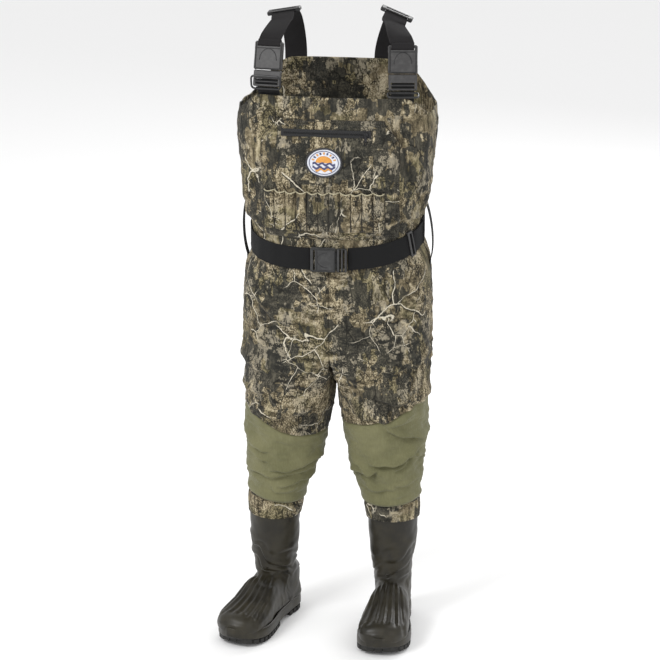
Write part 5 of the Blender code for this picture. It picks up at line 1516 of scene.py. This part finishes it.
# ---------------------------------------------------------------- boots
BOOT_HEEL, BOOT_TOE = 0.078, -0.228
SOLE_TOP, SOLE_TREAD, RUBBER, SHAFT_TOP = 0.022, 0.010, 0.0038, 0.311
FOREFOOT = ((0.090, 0.0470, 0.109, 0.001), (0.125, 0.0535, 0.088, 0.003), (0.165, 0.0555, 0.076, 0.005),
            (0.195, 0.0490, 0.068, 0.007), (0.215, 0.0360, 0.058, 0.009), (0.226, 0.0170, 0.042, 0.010))
SOLE = np.array(((BOOT_TOE, 0.0100, 0.010), (BOOT_TOE + 0.010, 0.0310, 0.010),
                 (BOOT_TOE + 0.032, 0.0500, 0.008),
                 (-0.160, 0.0590, 0.005), (-0.120, 0.0565, 0.003), (-0.060, 0.0450, 0.001),
                 (0.0, 0.0405, 0.0),
                 (0.040, 0.0405, 0.0), (0.062, 0.0330, 0.0), (BOOT_HEEL, 0.0140, 0.0)))
SHAFT = np.array(((0.311, 0.0558, 0.0568), (0.225, 0.0556, 0.0574), (0.165, 0.0490, 0.0560),
                  (0.136, 0.0440, 0.0545)))
INSTEP_RADIUS, FLOOR_SQUARENESS, TOE_SPRING = 0.020, 5.5, 0.012


def foot_matrix(side_name):
    x, turn = FEET[side_name]
    return Matrix.Translation((x, ANKLE_Y, 0)) @ Matrix.Rotation(math.radians(turn), 4, "Z")


def from_foot(side_name, points):
    """Points of a foot's own frame in the garment's frame."""
    place = np.array(foot_matrix(side_name))
    return np.asarray(points, float) @ place[:3, :3].T + place[:3, 3]


def spring(y):
    ahead = np.maximum(-np.asarray(y, float) - 0.135, 0.0) / 0.09
    return TOE_SPRING * ahead * ahead


def oval(half_width, top, bottom, squareness_top, squareness_bottom, turns):
    middle, half = (top + bottom) / 2, (bottom - top) / 2
    n = np.where(np.cos(turns) < 0, squareness_bottom, squareness_top)
    return (half_width * signed_power(np.sin(turns), 2 / n),
            middle - half * signed_power(np.cos(turns), 2 / n))


def boot_rings(side, turns):
    """The CAD boot's own rings, from the shaft's top round the heel to the toe."""
    rings = []
    for height in (SHAFT_TOP, 0.268, 0.225, 0.195, 0.165, 0.136):
        half_width, half_depth = [float(v) for v in sections(SHAFT, height)]
        a, b = oval(half_width, half_depth, -half_depth, 2.1, 2.1, turns)
        rings.append(np.stack([a, -b, np.full_like(a, height)], -1))
    pivot_y, pivot_z = -SHAFT[-1][2] - INSTEP_RADIUS, SHAFT[-1][0]
    for degrees in (14, 26, 35, 41, 47, 56, 68, 80):
        angle = math.radians(degrees)
        reach_back = (BOOT_HEEL - 0.004 - pivot_y) / math.cos(angle)
        reach_down = (pivot_z - SOLE_TOP) / math.sin(angle)
        reach = (reach_back ** -20 + reach_down ** -20) ** (-1 / 20)
        share = float(smooth(degrees / 90))
        flatness = mix(2.1, FLOOR_SQUARENESS, float(smooth((degrees - 20) / 36)))
        half_width = mix(0.0440, 0.0385, math.sin(share * math.pi))
        a, b = oval(half_width, INSTEP_RADIUS, reach, 2.1, flatness, turns)
        height = np.maximum(pivot_z - b * math.sin(angle), SOLE_TOP)
        rings.append(np.stack([a, pivot_y + b * math.cos(angle), height], -1))
    for ahead, half_width, height, inward in FOREFOOT:
        a, b = oval(half_width, -height, -SOLE_TOP, 2.2, FLOOR_SQUARENESS, turns)
        rings.append(np.stack([a - side * inward, np.full_like(a, -ahead),
                               np.maximum(-b, SOLE_TOP) + float(spring(-ahead))], -1))
    return np.array(rings)


def refine_rings(rings, steps):
    """Smooth curve through the rings, so many steps between each two."""
    full = np.concatenate([rings[:1] * 2 - rings[1:2], rings, rings[-1:] * 2 - rings[-2:-1]])
    out = []
    for k in range(1, len(full) - 2):
        a, b, c, d = full[k - 1:k + 3]
        for i in range(steps):
            t = i / steps
            out.append(0.5 * (2 * b + (c - a) * t + (2 * a - 5 * b + 4 * c - d) * t * t
                              + (3 * b - a - 3 * c + d) * t ** 3))
    out.append(rings[-1])
    return np.array(out)


def boot_relief(points, side):
    """How far the rubber stands off its plain form: flutes, folds, toe cap, heel counter and rand."""
    x, y, z = points[..., 0], points[..., 1], points[..., 2]
    lift = np.zeros(x.shape)
    top_line = z - 0.030 - spring(y)
    vamp = smooth((-y - 0.060) / 0.02) * smooth((y + 0.206) / 0.015) * smooth(top_line / 0.012)
    across = (x + side * 0.004) / np.maximum(0.052 + 0.20 * (-y - 0.16), 0.030)
    flute = np.cos(across * math.pi * 6.2)
    lift += 0.0019 * vamp * np.sign(flute) * np.abs(flute) ** 0.7 * smooth((1.15 - np.abs(across)) / 0.3)
    cap = smooth((-y - 0.186) / 0.006)
    lift += 0.0012 * cap * smooth(top_line / 0.01)
    rand = smooth((0.046 + spring(y) - z) / 0.004)
    lift += 0.0013 * rand
    counter = smooth((y + 0.004 + 0.30 * (z - 0.03)) / 0.005) * smooth((0.112 - z) / 0.005)
    lift += 0.0014 * counter
    quarter = bell(y + 0.052 - 0.55 * (z - 0.03), 0.0035) * smooth((0.118 - z) / 0.01)
    lift += 0.0012 * quarter * smooth(top_line / 0.01)
    front = smooth((-y + 0.01) / 0.03)
    rear = smooth((y + 0.005) / 0.03)
    wander = 0.006 * waves(points, 41, 0.05)
    worn = 1.0 if side < 0 else 0.55
    for height, slope, size, width, face in (
            (0.196, 0.35, 0.0016, 0.0085, front), (0.168, 0.75, 0.0036, 0.0070, front),
            (0.141, 0.55, 0.0030, 0.0060, front), (0.122, 0.10, 0.0020, 0.0060, front),
            (0.172, 0.80, 0.0034, 0.0070, rear), (0.146, -0.30, 0.0026, 0.0070, rear),
            (0.124, 0.20, 0.0018, 0.0065, rear), (0.236, -0.20, 0.0010, 0.0100, rear)):
        off = z - height - slope * x * side + wander
        lift += worn * face * size * (bell(off, width) - 0.9 * bell(off + 1.4 * width, width * 0.6))
    shaft = smooth((z - 0.13) / 0.03)
    lift += 0.0011 * bell(x, 0.0040) * shaft * rear
    lift += 0.0013 * waves(points, 42, 0.07, 12) * shaft + 0.0004 * waves(points, 43, 0.03, 12)
    lift += 0.0012 * smooth((z - 0.300) / 0.003)
    return lift


def grid_normals(grid):
    along = np.gradient(grid, axis=0)
    around = np.roll(grid, -1, 1) - np.roll(grid, 1, 1)
    normal = np.cross(around, along)
    return normal / np.maximum(np.linalg.norm(normal, axis=-1, keepdims=True), 1e-9)


def make_boot(side_name, looks):
    side = SIDES[side_name]
    count = 132
    turns = np.linspace(0.0, math.tau, count, endpoint=False)
    rings = refine_rings(boot_rings(side, turns), 9)
    normal = grid_normals(rings)
    middle = rings.mean(axis=1, keepdims=True)
    if np.sum((rings - middle) * normal) < 0:
        normal = -normal
    flat = smooth((rings[..., 2] - SOLE_TOP - spring(rings[..., 1]) - 0.0006) / 0.003)
    fade = np.ones(len(rings))
    fade[-14:] = np.linspace(1.0, 0.3, 14)
    lifted = rings + normal * (boot_relief(rings, side) * flat * fade[:, None])[..., None]
    points = from_foot(side_name, lifted)
    faces = grid_faces(len(rings), count, closed=True)
    last = (len(rings) - 1) * count
    nose = points[-1].mean(axis=0)
    faces += [(last + i, last + (i + 1) % count, len(rings) * count) for i in range(count)]
    obj = to_object(f"boot_rubber_{side_name}", np.concatenate([points.reshape(-1, 3), nose[None]]), faces,
                    looks["rubber"])
    turn_out(obj, from_foot(side_name, (0.0, -0.03, 0.10)))
    thicken(obj, RUBBER * 0.7)
    finish_piece(obj, f"boot_upper_{side_name}")
    ring = sole_outline(side, 150, 0.0008)
    path = np.concatenate([ring, (0.034 + spring(ring[:, 1]))[:, None]], 1)
    rope(f"rand_bead_{side_name}", from_foot(side_name, path), 0.0014, looks["rubber"],
         closed=True)
    rows = []
    for height, grow in ((0.0365, 0.0004), (0.0345, 0.0019), (0.0260, 0.0026), (0.0180, 0.0027),
                         (0.0142, 0.0025),
                         (0.0132, 0.0018), (0.0136, 0.0006)):
        ring = sole_outline(side, 168, grow)
        rows.append(from_foot(side_name, np.concatenate([ring, (height + spring(ring[:, 1]))[:, None]], 1)))
    obj = sheet(f"foxing_band_{side_name}", np.array(rows), looks["rubber"], 0.0008,
                from_foot(side_name, (0.0, -0.03, 0.03)), closed=True)
    finish_piece(obj, None)


def sole_outline(side, count, grow=0.0):
    """Outline of the sole in the foot's frame, once round."""
    turns = np.linspace(math.radians(4), math.radians(176), count // 2)
    y = mix(BOOT_TOE, BOOT_HEEL, (1 - np.cos(turns)) / 2)
    half_width, inward = sections(SOLE, y)
    round_end = np.sqrt(np.clip(np.sin(turns), 0, 1)) ** 0.35
    half_width = half_width * round_end + grow
    right = np.stack([half_width - side * inward, y - grow * np.cos(turns)], -1)
    left = np.stack([-half_width - side * inward, y - grow * np.cos(turns)], -1)
    return np.concatenate([right, left[::-1]])


def make_sole(side_name, looks):
    """Outsole: a moulded plate with a rounded welt, and lugs below it in two heights."""
    side = SIDES[side_name]
    count = 168
    rows = []
    for z, grow in ((SOLE_TOP - 0.0004, -0.006), (SOLE_TOP - 0.0004, 0.0004), (SOLE_TOP - 0.0016, 0.0018),
                    (SOLE_TOP - 0.0050, 0.0020), (SOLE_TOP - 0.0066, 0.0006), (SOLE_TREAD + 0.0020, 0.0006),
                    (SOLE_TREAD, -0.0010), (SOLE_TREAD, -0.006)):
        ring = sole_outline(side, count, grow)
        rows.append(np.concatenate([ring, np.full((count, 1), z)], 1))
    grid = np.array(rows)
    grid[..., 2] += spring(grid[..., 1])
    points = from_foot(side_name, grid)
    faces = grid_faces(len(rows), count, closed=True)
    half = count // 2
    for row in (0, len(rows) - 1):
        base = row * count
        strip = [(base + i, base + i + 1, base + count - 2 - i, base + count - 1 - i)
                 for i in range(half - 1)]
        faces += strip if row else [face[::-1] for face in strip]
    obj = to_object(f"outsole_plate_{side_name}", points, faces, looks["outsole"])
    face_outward(obj)
    obj.data.set_sharp_from_angle(angle=math.radians(50))
    finish_piece(obj, f"outsole_{side_name}")
    make_lugs(side_name, looks)


def make_lugs(side_name, looks):
    side = SIDES[side_name]
    verts, faces = [], []
    bars = ([(-0.214 + 0.0172 * k, 0.0118) for k in range(9)]
            + [(0.006 + 0.0172 * k, 0.0124) for k in range(4)])
    for y, length in bars:
        for low_share, high_share in ((-1.0, -0.36), (-0.30, 0.30), (0.36, 1.0)):
            block = []
            for z, narrow in ((SOLE_TREAD + 0.001, 0.0), (0.0012, 0.0), (0.0, 0.0011)):
                for y_share, x_share in ((-0.5, low_share), (-0.5, high_share), (0.5, high_share),
                                         (0.5, low_share)):
                    y_here = y + y_share * (length - 2 * narrow)
                    half_width, inward = [
                        float(v) for v in sections(SOLE, min(max(y_here, BOOT_TOE), BOOT_HEEL))]
                    half_width += 0.0004 - narrow
                    x = x_share * half_width - side * inward
                    block.append((x, y_here + 0.004 * abs(x_share) * (1 if y < -0.05 else -1),
                                  z + float(spring(y_here))))
            base = len(verts)
            verts += block
            for row in range(2):
                faces += [(base + row * 4 + i, base + row * 4 + (i + 1) % 4,
                           base + (row + 1) * 4 + (i + 1) % 4,
                           base + (row + 1) * 4 + i) for i in range(4)]
            faces += [(base, base + 3, base + 2, base + 1), (base + 8, base + 9, base + 10, base + 11)]
    obj = to_object(f"outsole_lugs_{side_name}", from_foot(side_name, verts), faces, looks["outsole"])
    face_outward(obj)
    obj.data.shade_flat()
    finish_piece(obj, None)


# ---------------------------------------------------------------- buckles and sliders
def buckle_details(name, place, width, length, thick, body, looks):
    """Raised rails, arch and joint lip on a buckle socket's outer face."""
    face = thick / 2
    rail_y = width / 2 - 0.0036

    def put(points):
        array = np.array(place)
        return np.asarray(points, float) @ array[:3, :3].T + array[:3, 3]

    for k, hand in enumerate((1, -1)):
        run = np.linspace(-length + 0.0035, -0.0035, 24)
        rail = np.stack([run, np.full(24, hand * rail_y), np.full(24, face - 0.0001)], -1)
        rope(f"{name}_rail_{k}", put(rail), 0.0017, looks["moulded_dark"], body,
             flat=0.9)
    turn = np.linspace(0.0, math.pi, 40)
    arch = np.stack([-length * 0.34 - length * 0.40 * np.sin(turn), width * 0.30 * np.cos(turn),
                     np.full(40, face + 0.0001)], -1)
    rope(f"{name}_arch", put(arch), 0.0009, looks["moulded_dark"], body, flat=0.8)
    for k, x in enumerate((-length + 0.0150, -0.0032)):
        bar = np.stack([np.full(20, x), np.linspace(-rail_y + 0.003, rail_y - 0.003, 20),
                        np.full(20, face)], -1)
        rope(f"{name}_bar_{k}", put(bar), 0.0010, looks["moulded_dark"], body, flat=0.8)


def edge_bar(name, place, start, end, radius, look, body):
    array = np.array(place)
    path = np.linspace(start, end, 24) @ array[:3, :3].T + array[:3, 3]
    rope(name, path, radius, look, body, sides=10)


def make_hardware(looks):
    for side_name in SIDES:
        place = buckle_place(side_name)
        body = f"socket_{side_name}"
        buckle_details(f"buckle_{side_name}", place, STRAP_BUCKLE_WIDTH, STRAP_SOCKET, STRAP_BUCKLE_THICK,
                       body, looks)
        for k, x in enumerate((STRAP_PLUG - 0.0018, STRAP_PLUG - 0.0105)):
            edge_bar(f"plug_bar_{side_name}_{k}", place, (x, -0.026, 0.0052), (x, 0.026, 0.0052), 0.0013,
                     looks["moulded_grey"], BODY)
        centre, across, upward = crest_frame(side_name)
        # A light grey cord along each slider's front edge is a painted highlight on the dark slider.
        slider = frame_of(Vector((0, 1, 0)), upward, centre + upward * (CREST_RADIUS + STRAP_THICK / 2))
        edge_bar(f"slider_painted_highlight_{side_name}", slider, (-0.0132, -0.034, 0.0036),
                 (-0.0132, 0.034, 0.0036), 0.0014,
                 looks["moulded_grey"], f"shoulder_slider_{side_name}")
    middle = belt_point(np.array(0.0), 1.0)
    belt_place = Matrix.Translation((BELT_BUCKLE_X, middle[1] - 0.0066, middle[2])) @ Matrix(
        ((1, 0, 0, 0), (0, 0, -1, 0), (0, 1, 0, 0), (0, 0, 0, 1)))
    buckle_details("belt_buckle", belt_place, BELT_BUCKLE_WIDTH, BELT_SOCKET, BELT_BUCKLE_THICK, BODY,
                   looks)
    for k, x in enumerate((BELT_PLUG - 0.0016, BELT_PLUG - 0.0104)):
        edge_bar(f"belt_plug_bar_{k}", belt_place, (x, -0.025, 0.0048), (x, 0.025, 0.0048), 0.0012,
                 looks["moulded_grey"], "belt_plug")


NODE_LOOKS = (
    ("belt_buckle", "moulded"), ("buckle_left", "moulded_grey"), ("buckle_right", "moulded_grey"),
    ("belt_adjuster", "moulded_grey"), ("shoulder_slider", "moulded_dark"),
    ("accessory_ring", "moulded_dark"),
    ("zip_slider", "zip_metal"), ("zip_pull", "zip_metal"), ("insole", "foam"), ("boot_liner", "lining"),
    ("shank", "steel"),
)


def dress_nodes(looks):
    """Better materials on the CAD pieces that stay in view."""
    for name, obj in frame["nodes"].items():
        for start, look in NODE_LOOKS:
            if name.startswith(start):
                for slot in obj.material_slots:
                    slot.material = looks[look]


# ---------------------------------------------------------------- run
looks = make_looks()
make_stage()
make_cloth(looks)
make_pocket(looks)
make_shell_loops(looks)
make_badge(looks)
make_zip(looks)
make_belt(looks)
make_belt_loops(looks)
make_back_patch(looks)
for side_name in SIDES:
    make_suspender(side_name, looks)
    make_boot(side_name, looks)
    make_sole(side_name, looks)
make_hardware(looks)
dress_nodes(looks)
